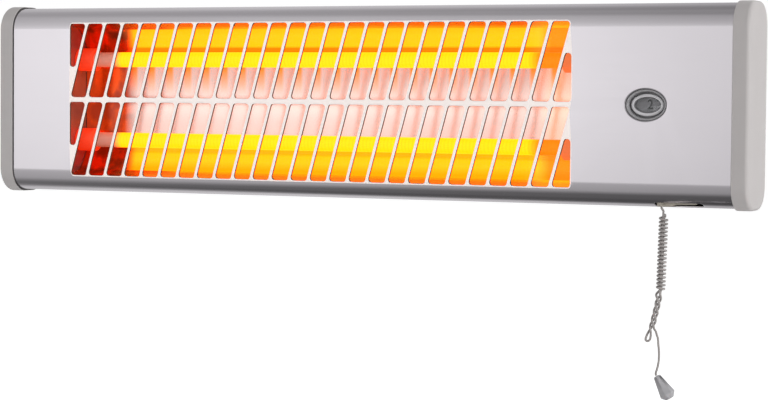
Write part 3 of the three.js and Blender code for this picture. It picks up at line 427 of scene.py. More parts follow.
class Look(Nodes):
    """A Principled material with procedural detail, for a slot of the record."""

    def __init__(self, name, color, roughness, metallic=0.0, slot=None):
        self.material = bpy.data.materials.new(name)
        super().__init__(self.material)
        self.shader = self.nodes["Principled BSDF"]
        self.slot, self.color, self.roughness = slot or name, color, roughness
        self.set("Base Color", color).set("Roughness", roughness).set("Metallic", metallic)

    def set(self, name, value):
        self.put(value, self.shader.inputs[name])
        return self

    def position(self, stretch=(1, 1, 1)):
        """Object coordinates in millimetres, stretched."""
        coordinates = self.node("TexCoord").outputs["Object"]
        return self.node("Mapping", Scale=[s / MM for s in stretch], Vector=coordinates).outputs["Vector"]

    def axis(self, name):
        """X, Y or Z of the object coordinates in millimetres."""
        return self.node("SeparateXYZ", Vector=self.position()).outputs[name]

    def noise(self, scale, detail=2.0, stretch=(1, 1, 1)):
        made = self.node("TexNoise", Scale=scale, Detail=detail, Vector=self.position(stretch))
        return made.outputs["Fac"]

    def mottled(self, scale, amount, detail=2.0):
        """Base colour a little darker and lighter in patches."""
        low, high = (tuple(min(1, c * (1 + step)) for c in self.color) for step in (-amount, amount))
        return self.set("Base Color", self.mixed(self.noise(scale, detail), low, high))

    def uneven(self, scale, amount, detail=2.0, stretch=(1, 1, 1)):
        """Roughness a little lower and higher in patches."""
        low, high = self.roughness * (1 - amount), self.roughness * (1 + amount)
        return self.set("Roughness", self.scaled(self.noise(scale, detail, stretch), low, high))

    def bumpy(self, scale, depth, strength, detail=2.0, stretch=(1, 1, 1)):
        height = self.noise(scale, detail, stretch)
        bump = self.node("Bump", Strength=strength, Distance=depth * MM, Height=height)
        return self.set("Normal", bump.outputs["Normal"])


def reflector_metal():
    """Polished sheet with painted light: a painted red glow where it passes the left end of the coils, a
    painted orange glow at their right end, painted reflections of the tubes and of the grille's bars, and
    painted shade beside each tube.
    """
    look = Look("reflector_metal", (0.93, 0.88, 0.81), 0.17, 0.92, "reflector")
    between, mixed, maths = look.ranged, look.mixed, look.maths
    x, z = look.axis("X"), look.axis("Z")
    height = maths("ABSOLUTE", z)
    left = between(x, TUBE_X - COIL_LENGTH / 2 + 12, TUBE_X - COIL_LENGTH / 2 + 2)
    right_end = between(x, TUBE_X + COIL_LENGTH / 2 - 12, TUBE_X + COIL_LENGTH / 2 + 2)
    waves = look.node("TexWave", Scale=pi / 10 / SLOT_PITCH, Distortion=0.6,
                      Vector=look.position((1, 1, 0.25))).outputs["Fac"]
    # Painted orange reflections of the grille's bars lie under the upper tube in slanted bands (patches). A
    # band of painted shade lies just beyond each tube.
    under_tube = maths("MULTIPLY", between(z, 4, 20), between(z, 27, 24))
    patches = maths("MULTIPLY", between(waves, 0.45, 0.85), under_tube)
    painted_tube_shade = maths("MULTIPLY", between(height, 27, 29), between(height, 35.5, 34))
    painted_tube_shade = maths("MULTIPLY", painted_tube_shade, between(z, -1, 1, 0.4, 1))
    # The base colour is a random tone, with painted yellow and orange reflections of the tubes above the
    # upper tube and below the lower one, the bars' painted reflections, and the painted shade band.
    tone_and_painted_light = mixed(look.noise(0.05), (0.88, 0.81, 0.75), look.color)
    tone_and_painted_light = mixed(between(height, 24, 28), tone_and_painted_light, (0.93, 0.86, 0.40))
    tone_and_painted_light = mixed(between(z, 42, 48), tone_and_painted_light, (0.95, 0.72, 0.08))
    tone_and_painted_light = mixed(between(z, -39.5, -44.5), tone_and_painted_light, (0.95, 0.60, 0.04))
    tone_and_painted_light = mixed(patches, tone_and_painted_light, (0.95, 0.36, 0.08))
    tone_and_painted_light = mixed(painted_tube_shade, tone_and_painted_light, (0.52, 0.34, 0.06))
    # Painted red glow and painted shade in patches at the left end of the coils.
    painted_red_glow = mixed(between(look.noise(0.09), 0.4, 0.6), (0.17, 0.06, 0.04), (0.75, 0.12, 0.03))
    look.set("Base Color", mixed(left, tone_and_painted_light, painted_red_glow))
    # The emission is a painted glow: faint between the tubes, stronger on the bars' painted reflections and
    # at the coils' right end, and a faint red one at their left end.
    middle = between(height, 24, 20)
    glow = maths("MAXIMUM", look.scaled(patches, 0.25, 0.7), look.scaled(right_end, 0.0, 0.75))
    glow = maths("MULTIPLY", glow, maths("MAXIMUM", middle, look.scaled(right_end, 0.05, 1.0)))
    look.set("Emission Strength", maths("ADD", glow, look.scaled(left, 0.0, 0.07)))
    painted_glow_color = mixed(maths("MAXIMUM", patches, right_end), (1.0, 0.26, 0.14), (1.0, 0.17, 0.01))
    look.set("Emission Color", mixed(left, painted_glow_color, (1.0, 0.05, 0.0)))
    return look.bumpy(0.05, 0.3, 0.2, stretch=(0.2, 1, 1))


HEAT_STRENGTH = 5.0


def hot_quartz():
    """Quartz that glows over the coil inside it, and is clear and faintly pink at its cold ends."""
    look = Look("hot_quartz", (0.5, 0.3, 0.02), 0.4, slot="quartz")
    look.set("Transmission Weight", 0.08).set("IOR", 1.46).set("Specular IOR Level", 0.15)
    x, half = look.axis("X"), COIL_LENGTH / 2
    left = look.ranged(x, TUBE_X - half, TUBE_X - half + 6)
    right_end = look.ranged(x, TUBE_X + half, TUBE_X + half - 8)
    look.set("Base Color", look.mixed(left, (0.80, 0.46, 0.38), look.color))
    strength = (look.scaled(left, 0.03, 1), look.scaled(right_end, 1.1, HEAT_STRENGTH))
    look.set("Emission Strength", look.maths("MULTIPLY", *strength))
    wave = look.node("TexWave", Scale=0.13, Distortion=1.2, Vector=look.position()).outputs["Fac"]
    return look.set("Emission Color", look.mixed(wave, (1.0, 0.125, 0.0), (1.0, 0.14, 0.0)))


def hot_coil():
    look = Look("hot_coil", (0.9, 0.6, 0.3), 0.5, slot="glow").set("Emission Strength", HEAT_STRENGTH)
    return look.set("Emission Color", look.mixed(look.noise(0.2), (1.0, 0.15, 0.0), (1.0, 0.17, 0.0)))


def ceramic():
    """Ceramic with a painted glow, red at the left ends and orange at the right ones, standing in for the
    coils' light on it.
    """
    look = Look("ceramic", (0.50, 0.10, 0.04), 0.6).mottled(0.4, 0.08, 4).bumpy(2.0, 0.03, 0.4)
    side = look.ranged(look.axis("X"), TUBE_X - 9, TUBE_X + 9)
    look.set("Emission Color", look.mixed(side, (1.0, 0.02, 0.0), (0.85, 0.20, 0.05)))
    return look.set("Emission Strength", 0.7)


def plastic(name, color, roughness=0.45, slot=None):
    return Look(name, color, roughness, slot=slot).mottled(0.15, 0.04).bumpy(2.5, 0.02, 0.3)


GRAIN = (0.02, 2.0, 2.0)
STEEL = Look("satin_steel", (0.82, 0.79, 0.815), 0.17, 1.0, "satin_shell").mottled(0.02, 0.02)
STEEL.uneven(1.0, 0.12, 3, GRAIN).bumpy(1.0, 0.004, 0.3, 3, GRAIN)
# The grille's bars and their rolled edges, with painted warm light and painted highlights (a cream colour
# and a faint glow), and the cut edges inside the slots painted dark brown as painted shade.
BARS = Look("bright_bars", (0.95, 0.89, 0.86), 0.45, 0.1).mottled(0.4, 0.03)
BARS.set("Emission Color", (1.0, 0.86, 0.80)).set("Emission Strength", 0.2)
WALL = Look("slot_wall", (0.10, 0.04, 0.02), 0.7).mottled(0.4, 0.15)
CAP = Look("cap_plastic", (0.50, 0.475, 0.47), 0.5).mottled(0.05, 0.03).bumpy(2.5, 0.02, 0.35)
ZINC = Look("zinc_steel", (0.60, 0.61, 0.63), 0.36, 0.95).mottled(0.35, 0.12, 4).uneven(0.6, 0.3, 3)
BACK = Look("painted_back", (0.62, 0.62, 0.63), 0.45, slot="back_paint").mottled(0.03, 0.03)
BACK.bumpy(1.2, 0.03, 0.4)
REFLECTOR = reflector_metal()
REFLECTOR_BACK = Look("reflector_back", (0.55, 0.54, 0.53), 0.35, 0.9).mottled(0.1, 0.1, 3).uneven(0.4, 0.2)
QUARTZ = hot_quartz()
COIL = hot_coil()
CERAMIC = ceramic()
BEZEL = plastic("bezel_plastic", (0.34, 0.335, 0.345), 0.4)
# Painted shade for the gap beside each end cap.
PAINTED_GAP_SHADE = plastic("joint_shadow", (0.09, 0.085, 0.085), 0.7)
RING = plastic("window_ring", (0.74, 0.73, 0.75), 0.3)
SWITCH = plastic("switch_plastic", (0.72, 0.68, 0.58))
DIAL = plastic("dial_plastic", (0.36, 0.335, 0.35), 0.4)
PRINT = plastic("dial_print", (0.012, 0.012, 0.01), 0.5, "dial_plastic")
LEVER = plastic("lever_plastic", (0.42, 0.38, 0.32))
KNOB = plastic("knob_plastic", (0.40, 0.395, 0.41), 0.4)
WIRE = plastic("wire_sleeve", (0.55, 0.50, 0.42), 0.6)
LENS = Look("clear_plastic", (0.85, 0.87, 0.88), 0.06, slot="clear_lens").uneven(0.3, 0.4)
LENS.set("Transmission Weight", 1.0).set("IOR", 1.49).set("Specular IOR Level", 0.3)
MICA = Look("mica_board", (0.56, 0.43, 0.24), 0.6).mottled(0.5, 0.2, 5).bumpy(0.8, 0.05, 0.5, 4)
CORD = Look("cord_textile", (0.36, 0.335, 0.325), 0.85, slot="cord").mottled(3.0, 0.18, 3)
CORD.bumpy(6.0, 0.05, 0.6).set("Sheen Weight", 0.2)
BRASS = Look("brass", (0.72, 0.52, 0.22), 0.3, 1.0).uneven(1.0, 0.3)

# ---- pull cord
# The route from the ball in the lever's tip to the knob, about the ball's centre.

WINDING_TOP = -6.9
WINDING_TURNS = 19 + 1 / 6
WINDING_LENGTH = 45.5
WINDING_START = -2.0
WINDING_ASIDE = 1.05
STRAND_SPACING = 1.95
TURN_RADIUS = 1.98
TURN_START = 0.65
LAST_TURN_DROP = 1.6
LAST_TURN_EVENNESS = 0.3
TWIST_LENGTH = 21.5
TWIST_RADIUS = 1.28
TWIST_TURNS = 1 + 7 / 12
PAIR_LENGTH = 6.6
PAIR_TURNS = 0.25
EYE_HALF_WIDTH = 1.4
AXIS_LEAN = 0.028
SWING_LEAN = 0.23
SWING_START = 40.0
SWING_RADIUS = 8.0
AXIS_BACK = STRAND_SPACING / 2
CORE_RADIUS = STRAND_SPACING / 2
SETTLE = 4.0
TWIST_END = WINDING_LENGTH + TWIST_LENGTH
EYE_DOWN = TWIST_END + PAIR_LENGTH
PAIR_ASIDE = -TWIST_RADIUS / 2
PAIR_RADIUS = TWIST_RADIUS * sin(radians(60))
WHOLE_TURNS = int(WINDING_TURNS) * 360
TURNS_END = WINDING_TURNS * 360


def smooth(share):
    s = min(1, max(0, share))
    return s * s * (3 - 2 * s)


def mix(a, b, share):
    return a + (b - a) * share


def winding_point(down, u, v):
    """A point at a distance down the winding's axis, and across it by u (sideways) and v (backwards)."""
    swing = hypot(max(0, down - SWING_START), SWING_RADIUS) - SWING_RADIUS
    aside = WINDING_ASIDE - AXIS_LEAN * down - SWING_LEAN * swing
    return Vector((aside + u, AXIS_BACK + v, WINDING_TOP - down))


def twist_turned(down):
    return 360 * TWIST_TURNS * max(0, down - WINDING_LENGTH) / TWIST_LENGTH


def core_strand(down, core_angle, twist_angle):
    """A strand of the eye inside the turns and in the twist."""
    beyond = (down - WINDING_LENGTH) / SETTLE
    angle = mix(core_angle, twist_angle, smooth(2 * beyond)) + twist_turned(down)
    return winding_point(down, *polar(angle, mix(CORE_RADIUS, TWIST_RADIUS, smooth(beyond))))


def pair_strand(down, side):
    """The same two strands below the twist, where they open into the eye. side is -1 or 1."""
    share = (down - TWIST_END) / PAIR_LENGTH
    radius = mix(PAIR_RADIUS, EYE_HALF_WIDTH, smooth((share - 0.45) / 0.55))
    across, back = polar(180 + side * 90 + min(1, share * 1.6) * PAIR_TURNS * 360, radius)
    return winding_point(down, PAIR_ASIDE + across, back)


def turn_strand(down, turned):
    """The strand that makes the turns, round both ends of an oblong, and below them goes into the twist."""
    share = smooth((down - WINDING_LENGTH) / SETTLE)
    across, back = polar(90 + turned)
    towards_end = min(1, max(-1, 2 * back)) * CORE_RADIUS
    u = mix(TURN_RADIUS * across, TWIST_RADIUS * across, share)
    v = mix(TURN_RADIUS * back + towards_end, TWIST_RADIUS * back, share)
    return winding_point(down, *rotated(u, v, twist_turned(down)))


def turn_down(turned):
    """How far down the turning strand is: evenly for the whole turns, then faster towards the twist."""
    last_start = WINDING_LENGTH - LAST_TURN_DROP
    if turned <= WHOLE_TURNS:
        return mix(TURN_START, last_start, turned / WHOLE_TURNS)
    share = (turned - WHOLE_TURNS) / (TURNS_END - WHOLE_TURNS)
    return mix(last_start, WINDING_LENGTH, mix(share**2, share, LAST_TURN_EVENNESS))


def eye_bend(angle):
    across, rise = polar(angle, EYE_HALF_WIDTH)
    return winding_point(EYE_DOWN - rise, PAIR_ASIDE + across, 0)


def over_bend(angle):
    half = TURN_RADIUS / 2
    back, rise = polar(angle, half)
    return winding_point(-0.6 * rise, 0, CORE_RADIUS + half + back)


def winding_route():
    """The cord from the winding's top to the eye, up again, over, and down in the turns and the twist."""

    def down_strand(down):
        return core_strand(down, -90, -90)

    def up_strand(down):
        return core_strand(down, 90, 30)

    legs = [
        (down_strand, WINDING_START, WINDING_LENGTH, 40),
        (down_strand, WINDING_LENGTH, TWIST_END, 32),
        (lambda down: pair_strand(down, -1), TWIST_END, EYE_DOWN, 16),
        (eye_bend, 180, 360, 16),
        (lambda down: pair_strand(down, 1), EYE_DOWN, TWIST_END, 16),
        (up_strand, TWIST_END, WINDING_LENGTH, 32),
        (up_strand, WINDING_LENGTH, 0, 40),
        (over_bend, 180, 0, 16),
        (lambda turned: turn_strand(turn_down(turned), turned), 0, TURNS_END, round(WINDING_TURNS * 36)),
        (lambda down: turn_strand(down, TURNS_END), WINDING_LENGTH, TWIST_END, 32),
    ]
    return [leg(start + (end - start) * i / count) for leg, start, end, count in legs for i in range(count)]


def curve_through(points, steps):
    """Points on a smooth line through points, evenly spaced in their count."""
    line = []
    for i in range(len(points) - 1):
        before = points[i - 1] if i else points[0] * 2 - points[1]
        after = points[i + 2] if i + 2 < len(points) else points[i + 1] * 2 - points[i]
        a, b = points[i], points[i + 1]
        for k in range(steps):
            t = k / steps
            line.append(0.5 * (2 * a + (b - before) * t + (2 * before - 5 * a + 4 * b - after) * t**2
                               + (3 * a - before - 3 * b + after) * t**3))
    return line + [points[-1]]


KNOB_TOP = Vector((-2.0, AXIS_BACK, -102.5))
KNOB_DIRECTION = Vector((0.55, 0, -0.835)).normalized()
TAIL_DIRECTION = Vector((0.32, 0, -0.947)).normalized()


def cord_route():
    """The whole cord, in millimetres about the ball's centre."""
    winding = winding_route()
    start = winding[0]
    drop = [Vector((0, 0, -BALL_RADIUS - GAP)), Vector((0, 0, -BALL_RADIUS - GAP - 0.7))]
    drop += [start + Vector((0, 0, 1.0)), start]
    leaving = turn_strand(TWIST_END, TURNS_END)
    parting = [leaving + Vector((aside, 0, -fall)) for aside, fall in ((0.5, 0.9), (1.25, 1.95))]
    winding_end = parting[1] + TAIL_DIRECTION * (3 * CORD_RADIUS)
    tail_start = winding_end + TAIL_DIRECTION * GAP
    tail = [leaving, *parting, winding_end, tail_start + TAIL_DIRECTION * 2]
    middle = [(-1.2, -83.6), (-0.85, -86.5), (-0.7, -89.5), (-0.8, -93.0), (-1.2, -95.7)]
    middle += [(-1.75, -98.1), (-2.3, -99.8), (-2.55, -100.6), (-2.5, -101.5)]
    tail += [Vector((x, AXIS_BACK, z)) for x, z in middle]
    tail.append(KNOB_TOP - KNOB_DIRECTION * GAP)
    return curve_through(drop, 6)[:-1] + winding + curve_through(tail, 8)


def even_route(points, spacing):
    """The same line with its points a given distance apart."""
    even, passed = [points[0]], 0.0
    for a, b in zip(points, points[1:]):
        length = (b - a).length
        along = spacing - passed
        while along < length:
            even.append(a.lerp(b, along / length))
            along += spacing
        passed = length - (along - spacing)
    if (even[-1] - points[-1]).length > 0.2 * spacing:
        even.append(points[-1])
    return even


ROUTE_STEP = 0.3
STRAND_LAY = 2.6  # length in which the cord's strands go once round
STRAND_GROOVE = 0.1


def strand_section(distance, angle):
    """Three strands twisted into one cord."""
    lobe = abs(cos(1.5 * (angle - 2 * pi * distance / STRAND_LAY)))
    return CORD_RADIUS * (1 - STRAND_GROOVE * (1 - lobe))


def pull_cord():
    route = even_route(cord_route(), ROUTE_STEP)
    length = sum((b - a).length for a, b in zip(route, route[1:]))
    placed = [point + BALL for point in route]
    tube = sweep(placed, strand_section, 12)
    cord = piece("pull_cord", tube, CORD, "cord_drop cord_winding cord_tail", "cord", sharp=60)
    profile = [(BALL.z - along, radius) for along, radius, _, _ in arc(0, 0, BALL_RADIUS, 0, 180, 12)]
    piece("cord_end_ball", lathe(profile, along_z(BALL.x, BALL.y), 24), BRASS, "cord_ball", "ball")
    knob = pull_knob()
    to_metres(placed[0])
    [to_metres(point) for point in placed]


def soften(made, width, angle):
    bevel = made.modifiers.new("soft_edges", "BEVEL")
    bevel.width = width * MM
    bevel.angle_limit = radians(angle)
    return bevel


def pull_knob():
    """A faceted taper that the cord's end goes into."""
    profile = [(1.0, 0.0), (1.0, 0.85), (0.0, 0.9), (0.0, 1.9), (0.5, 2.4), (0.8, 2.4),
               (12.7, 5.1), (15.5, 2.6), (15.5, 0.0)]
    turn = Vector((0, 0, -1)).rotation_difference(KNOB_DIRECTION).to_matrix()

    def place(along, across, rise):
        return KNOB_TOP + turn @ Vector((across, rise, -along)) + BALL

    knob = piece("pull_knob_shape", lathe(profile, place, 8), KNOB, "pull_knob", "cord", sharp=20)
    soften(knob, 0.35, 18).segments = 3
    return knob


pull_cord()


# ---- front shell
# The shell is laid out flat, with v along the sheet's outer face from the middle of the front, then bent.

FRONT_FLAT = HALF_HEIGHT - FRONT_RADIUS
FRONT_BEND = FRONT_RADIUS * pi / 2
SIDE_FLAT = SHELL_DEPTH - FRONT_RADIUS - REAR_RADIUS
REAR_BEND = REAR_RADIUS * pi / 2
BEND_START = FRONT_FLAT
SIDE_START = BEND_START + FRONT_BEND
REAR_START = SIDE_START + SIDE_FLAT
FLANGE_START = REAR_START + REAR_BEND
SHEET_EDGE = FLANGE_START + BACK_FLANGE
BEND_STEPS = 20


def bent(u, v, w):
    """A place on the folded shell from its place on the flat sheet."""
    side = 1 if v >= 0 else -1
    run = abs(v)
    if run <= BEND_START:
        return (u, w, v)
    if run <= SIDE_START:
        angle = (run - BEND_START) / FRONT_RADIUS
        reach = FRONT_RADIUS - w
        return (u, FRONT_RADIUS - reach * cos(angle), side * (FRONT_FLAT + reach * sin(angle)))
    if run <= REAR_START:
        return (u, FRONT_RADIUS + run - SIDE_START, side * (HALF_HEIGHT - w))
    centre_z = HALF_HEIGHT - REAR_RADIUS
    if run <= FLANGE_START:
        angle = (run - REAR_START) / REAR_RADIUS
        reach = REAR_RADIUS - w
        depth = SHELL_DEPTH - REAR_RADIUS + reach * sin(angle)
        return (u, depth, side * (centre_z + reach * cos(angle)))
    return (u, SHELL_DEPTH - w, side * (centre_z - (run - FLANGE_START)))


def flat_v(z):
    """Where a height on the front of the shell lies on the flat sheet."""
    beyond = abs(z) - FRONT_FLAT
    if beyond <= 0:
        return z
    return copysign(FRONT_FLAT + FRONT_RADIUS * asin(beyond / FRONT_RADIUS), z)


def bend_at(depth):
    """Where a depth on the lower front bend lies on the flat sheet."""
    return -(FRONT_FLAT + FRONT_RADIUS * acos((FRONT_RADIUS - depth) / FRONT_RADIUS))


def clipped(points, limit, sign):
    kept = []
    for i, point in enumerate(points):
        following = points[(i + 1) % len(points)]
        here, there = sign * (point[0] - limit), sign * (following[0] - limit)
        if here <= 0:
            kept.append(point)
        if here * there < 0:
            share = here / (here - there)
            kept.append((limit, point[1] + share * (following[1] - point[1])))
    return kept


SLOT_CORNER = 2.0
SLOT_RIM = 0.75
WINDOW_SIZE = (25.5, 19.1)
WINDOW_RIM = 0.8
LEVER_SLOT = (198.3, 228.0)
LEVER_SLOT_DEPTHS = (13.0, 6.0)
LEVER_SLOT_RIM = 0.3
SCREW_XS = (-225.0, 0.0, 225.0)
SCREW_HOLE = 1.8


def grille_slots():
    slots = []
    count = ceil((GRILLE_RIGHT - GRILLE_LEFT - FIRST_BAR) / SLOT_PITCH) + 2
    for low in (ROW_GAP / 2, -ROW_GAP / 2 - ROW_HEIGHT):
        high = low + ROW_HEIGHT
        for index in range(count):
            right_top = GRILLE_LEFT + FIRST_BAR + index * SLOT_PITCH - (SLOT_PITCH - SLOT_WIDTH) / 2
            left_top = right_top - SLOT_WIDTH
            corners = [(left_top - SLOT_PITCH, low), (right_top - SLOT_PITCH, low),
                       (right_top, high), (left_top, high)]
            corners = clipped(clipped(corners, GRILLE_LEFT, -1), GRILLE_RIGHT, 1)
            across = [u for u, _ in corners]
            if len(corners) < 3 or max(across) - min(across) < SMALLEST_SLOT:
                continue
            slots.append((rounded([(u, flat_v(v)) for u, v in corners], SLOT_CORNER, 6), SLOT_RIM))
    return slots


def front_shell():
    lever_slot = rectangle(*LEVER_SLOT, *(bend_at(depth) for depth in LEVER_SLOT_DEPTHS), 1.2)
    holes = grille_slots()
    holes.append((ellipse(*WINDOW_SIZE, 64, WINDOW_X), WINDOW_RIM))
    holes.append((lever_slot, LEVER_SLOT_RIM))
    screw_v = FLANGE_START + BACK_FLANGE / 2
    holes += round_holes(SCREW_HOLE, [(x, v) for x in SCREW_XS for v in (-screw_v, screw_v)])
    end = HALF_PANEL - GAP
    sheet = plate(rectangle(-end, end, -SHEET_EDGE, SHEET_EDGE), holes, 0.0, SHEET, 0.0, 0.25)
    # Grille faces near the front get the bars' painted warm light and painted rim highlights. Deeper faces
    # in the slots get the painted shade of the slot walls, which reaches nearly to the front on the slots'
    # left edges, where the faces turn to the right.
    for face in sheet.faces:
        middle = face.calc_center_median()
        in_grille = all(GRILLE_LEFT - 1 < v.co.x < GRILLE_RIGHT + 1 and abs(v.co.y) < ROW_HEIGHT + 5
                        for v in face.verts)
        if not in_grille or middle.z > SHEET - 0.001:
            continue
        inward = sum((v.co.x - middle.x) * (v.co.z - middle.z) for v in face.verts)
        painted_light_until = 0.05 if inward > 0.02 else FLATTEST_RIM / 2
        face.material_index = 1 if middle.z < painted_light_until else 2
    lines = []
    for start, length in ((BEND_START, FRONT_BEND), (REAR_START, REAR_BEND)):
        for i in range(BEND_STEPS + 1):
            lines += [start + length * i / BEND_STEPS, -start - length * i / BEND_STEPS]
    cut_along(sheet, lines)
    piece("shell_sheet", sheet, (STEEL, BARS, WALL), "front_shell", place=bent, sharp=40, weighted=True)


front_shell()

# ---- end caps

CAP_PROUD = 1.2
CAP_LENGTH = 10.3
CAP_WALL = 2.2
CAP_LIP = 8.0
CAP_ROUND = 2.4
CORNER_STEPS = 14


def body_outline(inset, depth):
    """The housing's outline in (depth, height) as points, drawn in by an inset."""
    front, rear, top = inset, depth - inset, HALF_HEIGHT - inset
    r, q = FRONT_RADIUS - inset, REAR_RADIUS - inset
    corners = [(rear - q, -top + q, q, 270, 360), (rear - q, top - q, q, 0, 90),
               (front + r, top - r, r, 90, 180), (front + r, -top + r, r, 180, 270)]
    return [(u, v) for corner in corners for u, v, _, _ in arc(*corner, CORNER_STEPS)]


def end_caps():
    outer = HALF_PANEL + CAP_LENGTH
    inner = SHEET + GAP
    path = [
        (outer - CAP_WALL, inner + CAP_WALL, SHELL_DEPTH),
        (HALF_PANEL - CAP_LIP, inner + CAP_WALL, SHELL_DEPTH),
        (HALF_PANEL - CAP_LIP, inner, SHELL_DEPTH),
        (HALF_PANEL, inner, SHELL_DEPTH),
        (HALF_PANEL, 0.3 - CAP_PROUD, BODY_DEPTH),
        (HALF_PANEL + 0.15, 0.05 - CAP_PROUD, BODY_DEPTH),
        (HALF_PANEL + 0.5, -CAP_PROUD, BODY_DEPTH),
    ]
    for rise, out, _, _ in arc(0, 0, CAP_ROUND, 0, 90, 8):
        path.append((outer - CAP_ROUND + out, CAP_ROUND - rise - CAP_PROUD, BODY_DEPTH))
    for side in ("right", "left"):
        rings = [[(x, d, z) for d, z in body_outline(inset, depth)] for x, inset, depth in path]
        cap = loft(rings)
        # The cap's face beside the panel's end is painted near black: painted shade of the gap there.
        for face in cap.faces:
            if all(abs(vertex.co.x - HALF_PANEL) < 0.001 for vertex in face.verts):
                face.material_index = 1
        if side == "left":
            mirrored(cap)
        piece(f"cap_{side}", cap, (CAP, PAINTED_GAP_SHADE), f"end_cap_{side}", sharp=40, weighted=True)


end_caps()


# ---- reflector and heating tubes

REFLECTOR_SHEET = 0.6
REFLECTOR_DEPTH = 25.5
REFLECTOR_FLAT_Z = 33.5
TROUGH_Z = 46.5
LIP_Z = 51.0
LIP = 4.0
TROUGH_STEPS = 24
CERAMIC_LENGTH = 13.0
SOCKET = 5.0
CERAMIC_END = TUBE_LENGTH / 2 - SOCKET + CERAMIC_LENGTH


def reflector_line():
    """The reflector's front face in (depth, height), from its upper lip down."""
    rise, drop = REFLECTOR_FLAT_Z - TUBE_Z, REFLECTOR_DEPTH - TUBE_DEPTH
    focal = (drop + hypot(drop, rise)) / 2
    lip_radius = FRONT_RADIUS - SHEET - GAP
    half = []
    for i in range(7):
        z = LIP_Z + LIP * (1 - i / 6)
        half.append((FRONT_RADIUS - sqrt(lip_radius**2 - (z - HALF_HEIGHT + FRONT_RADIUS) ** 2), z))
    for i in range(TROUGH_STEPS + 1):
        z = mix(TROUGH_Z, REFLECTOR_FLAT_Z, i / TROUGH_STEPS)
        half.append((TUBE_DEPTH + focal - (z - TUBE_Z) ** 2 / (4 * focal), z))
    return half + [(depth, -z) for depth, z in reversed(half)]


def reflector():
    line = [Vector(point) for point in reflector_line()]
    behind = []
    for i, point in enumerate(line):
        run = (line[min(i + 1, len(line) - 1)] - line[max(i - 1, 0)]).normalized()
        behind.append(point + Vector((-run.y, run.x)) * REFLECTOR_SHEET)
    section = line + behind[::-1]
    rings = [[(x, d, z) for d, z in section] for x in (TUBE_X - CERAMIC_END, TUBE_X + CERAMIC_END)]
    bm = bmesh.new()
    ends = [[bm.verts.new(point) for point in ring] for ring in rings]
    bridge(bm, *ends)
    count = len(line)
    bm.faces.ensure_lookup_table()
    for face in bm.faces[count - 1 :]:
        face.material_index = 1
    for ring in ends:
        for i in range(count - 1):
            bm.faces.new([ring[i], ring[i + 1], ring[-2 - i], ring[-1 - i]]).material_index = 1
    piece("reflector_sheet", bm, (REFLECTOR, REFLECTOR_BACK), "reflector", sharp=30)


COIL_PITCH, COIL_WIRE, COIL_RADIUS, COIL_STEPS = 2.4, 0.45, 2.9, 12


def heating_tubes():
    half = TUBE_LENGTH / 2
    bore = TUBE_RADIUS - 0.9
    tube = [(-half, bore), (-half, TUBE_RADIUS - 0.3), (-half + 0.3, TUBE_RADIUS)]
    tube += [(half - 0.3, TUBE_RADIUS), (half, TUBE_RADIUS - 0.3), (half, bore)]
    for level, z in (("upper", TUBE_Z), ("lower", -TUBE_Z)):
        place = along_x(TUBE_DEPTH, z)
        shifted = [(along + TUBE_X, radius) for along, radius in tube]
        piece(f"tube_{level}", lathe(shifted, place, 40, True), QUARTZ, f"quartz_tube_{level}")
        helix = []
        for i in range(round(COIL_LENGTH / COIL_PITCH * COIL_STEPS) + 1):
            along = TUBE_X - COIL_LENGTH / 2 + COIL_PITCH * i / COIL_STEPS
            helix.append(Vector(place(along, *polar(360 * i / COIL_STEPS, COIL_RADIUS))))
        wire = sweep(helix, lambda distance, angle: COIL_WIRE, 5)
        piece(f"coil_{level}", wire, COIL, f"heating_coil_{level}", sharp=80)
        for side, direction in (("left", -1), ("right", 1)):
            start = CERAMIC_END - CERAMIC_LENGTH
            neck_end = CERAMIC_END + GAP + 1 + 5
            profile = [(start, 5.2), (start, 6.9), (start + 0.6, 7.5), (CERAMIC_END - 0.4, 7.5),
                       (CERAMIC_END, 7.1), (CERAMIC_END, 4.0), (neck_end - 0.4, 4.0), (neck_end, 3.6),
                       (neck_end, 1.3), (start + SOCKET + GAP, 1.3), (start + SOCKET + GAP, 5.2)]
            profile = [(TUBE_X + direction * along, radius) for along, radius in profile]
            holder = lathe(profile, place, 36, True)
            piece(f"holder_{level}_{side}", holder, CERAMIC, f"ceramic_{level}_{side}")


reflector()
heating_tubes()

# ---- window and dial


def ellipse_ring(length, height, depth, steps=64):
    return [(u, depth, v) for u, v, _, _ in ellipse(length, height, steps, WINDOW_X)]


RING_DEPTHS = (3.1, 3.85)


def window():
    sizes = [
        (16.5, 9.3, 6.2), (16.5, 9.3, 3.9), (16.9, 9.7, 3.45), (17.6, 10.4, 3.25), (18.9, 12.0, 3.2),
        (19.7, 13.0, 3.35), (20.15, 13.6, 3.8), (20.2, 13.7, 5.2), (22.4, 16.0, 5.2), (22.5, 16.1, 1.0),
        (22.9, 16.5, 0.5), (23.7, 17.3, 0.3), (24.5, 18.1, 0.4), (24.9, 18.5, 0.8), (24.9, 18.5, 1.3),
        (31.5, 25.1, 1.3), (31.5, 25.1, 2.3), (24.9, 18.5, 2.3), (24.9, 18.5, 6.2),
    ]
    bezel = loft([ellipse_ring(*size) for size in sizes], True)
    for face in bezel.faces:
        if all(RING_DEPTHS[0] < v.co.y < RING_DEPTHS[1] for v in face.verts):
            face.material_index = 1
    piece("window_frame", bezel, (BEZEL, RING), "window_bezel")
    lens = [(15.3, 8.1, 5.8), (15.9, 8.7, 5.7), (15.9, 8.7, 4.8), (15.3, 8.2, 4.65), (12.0, 6.2, 4.6)]
    piece("window_glass", loft([ellipse_ring(*size) for size in lens]), LENS, "window_lens")


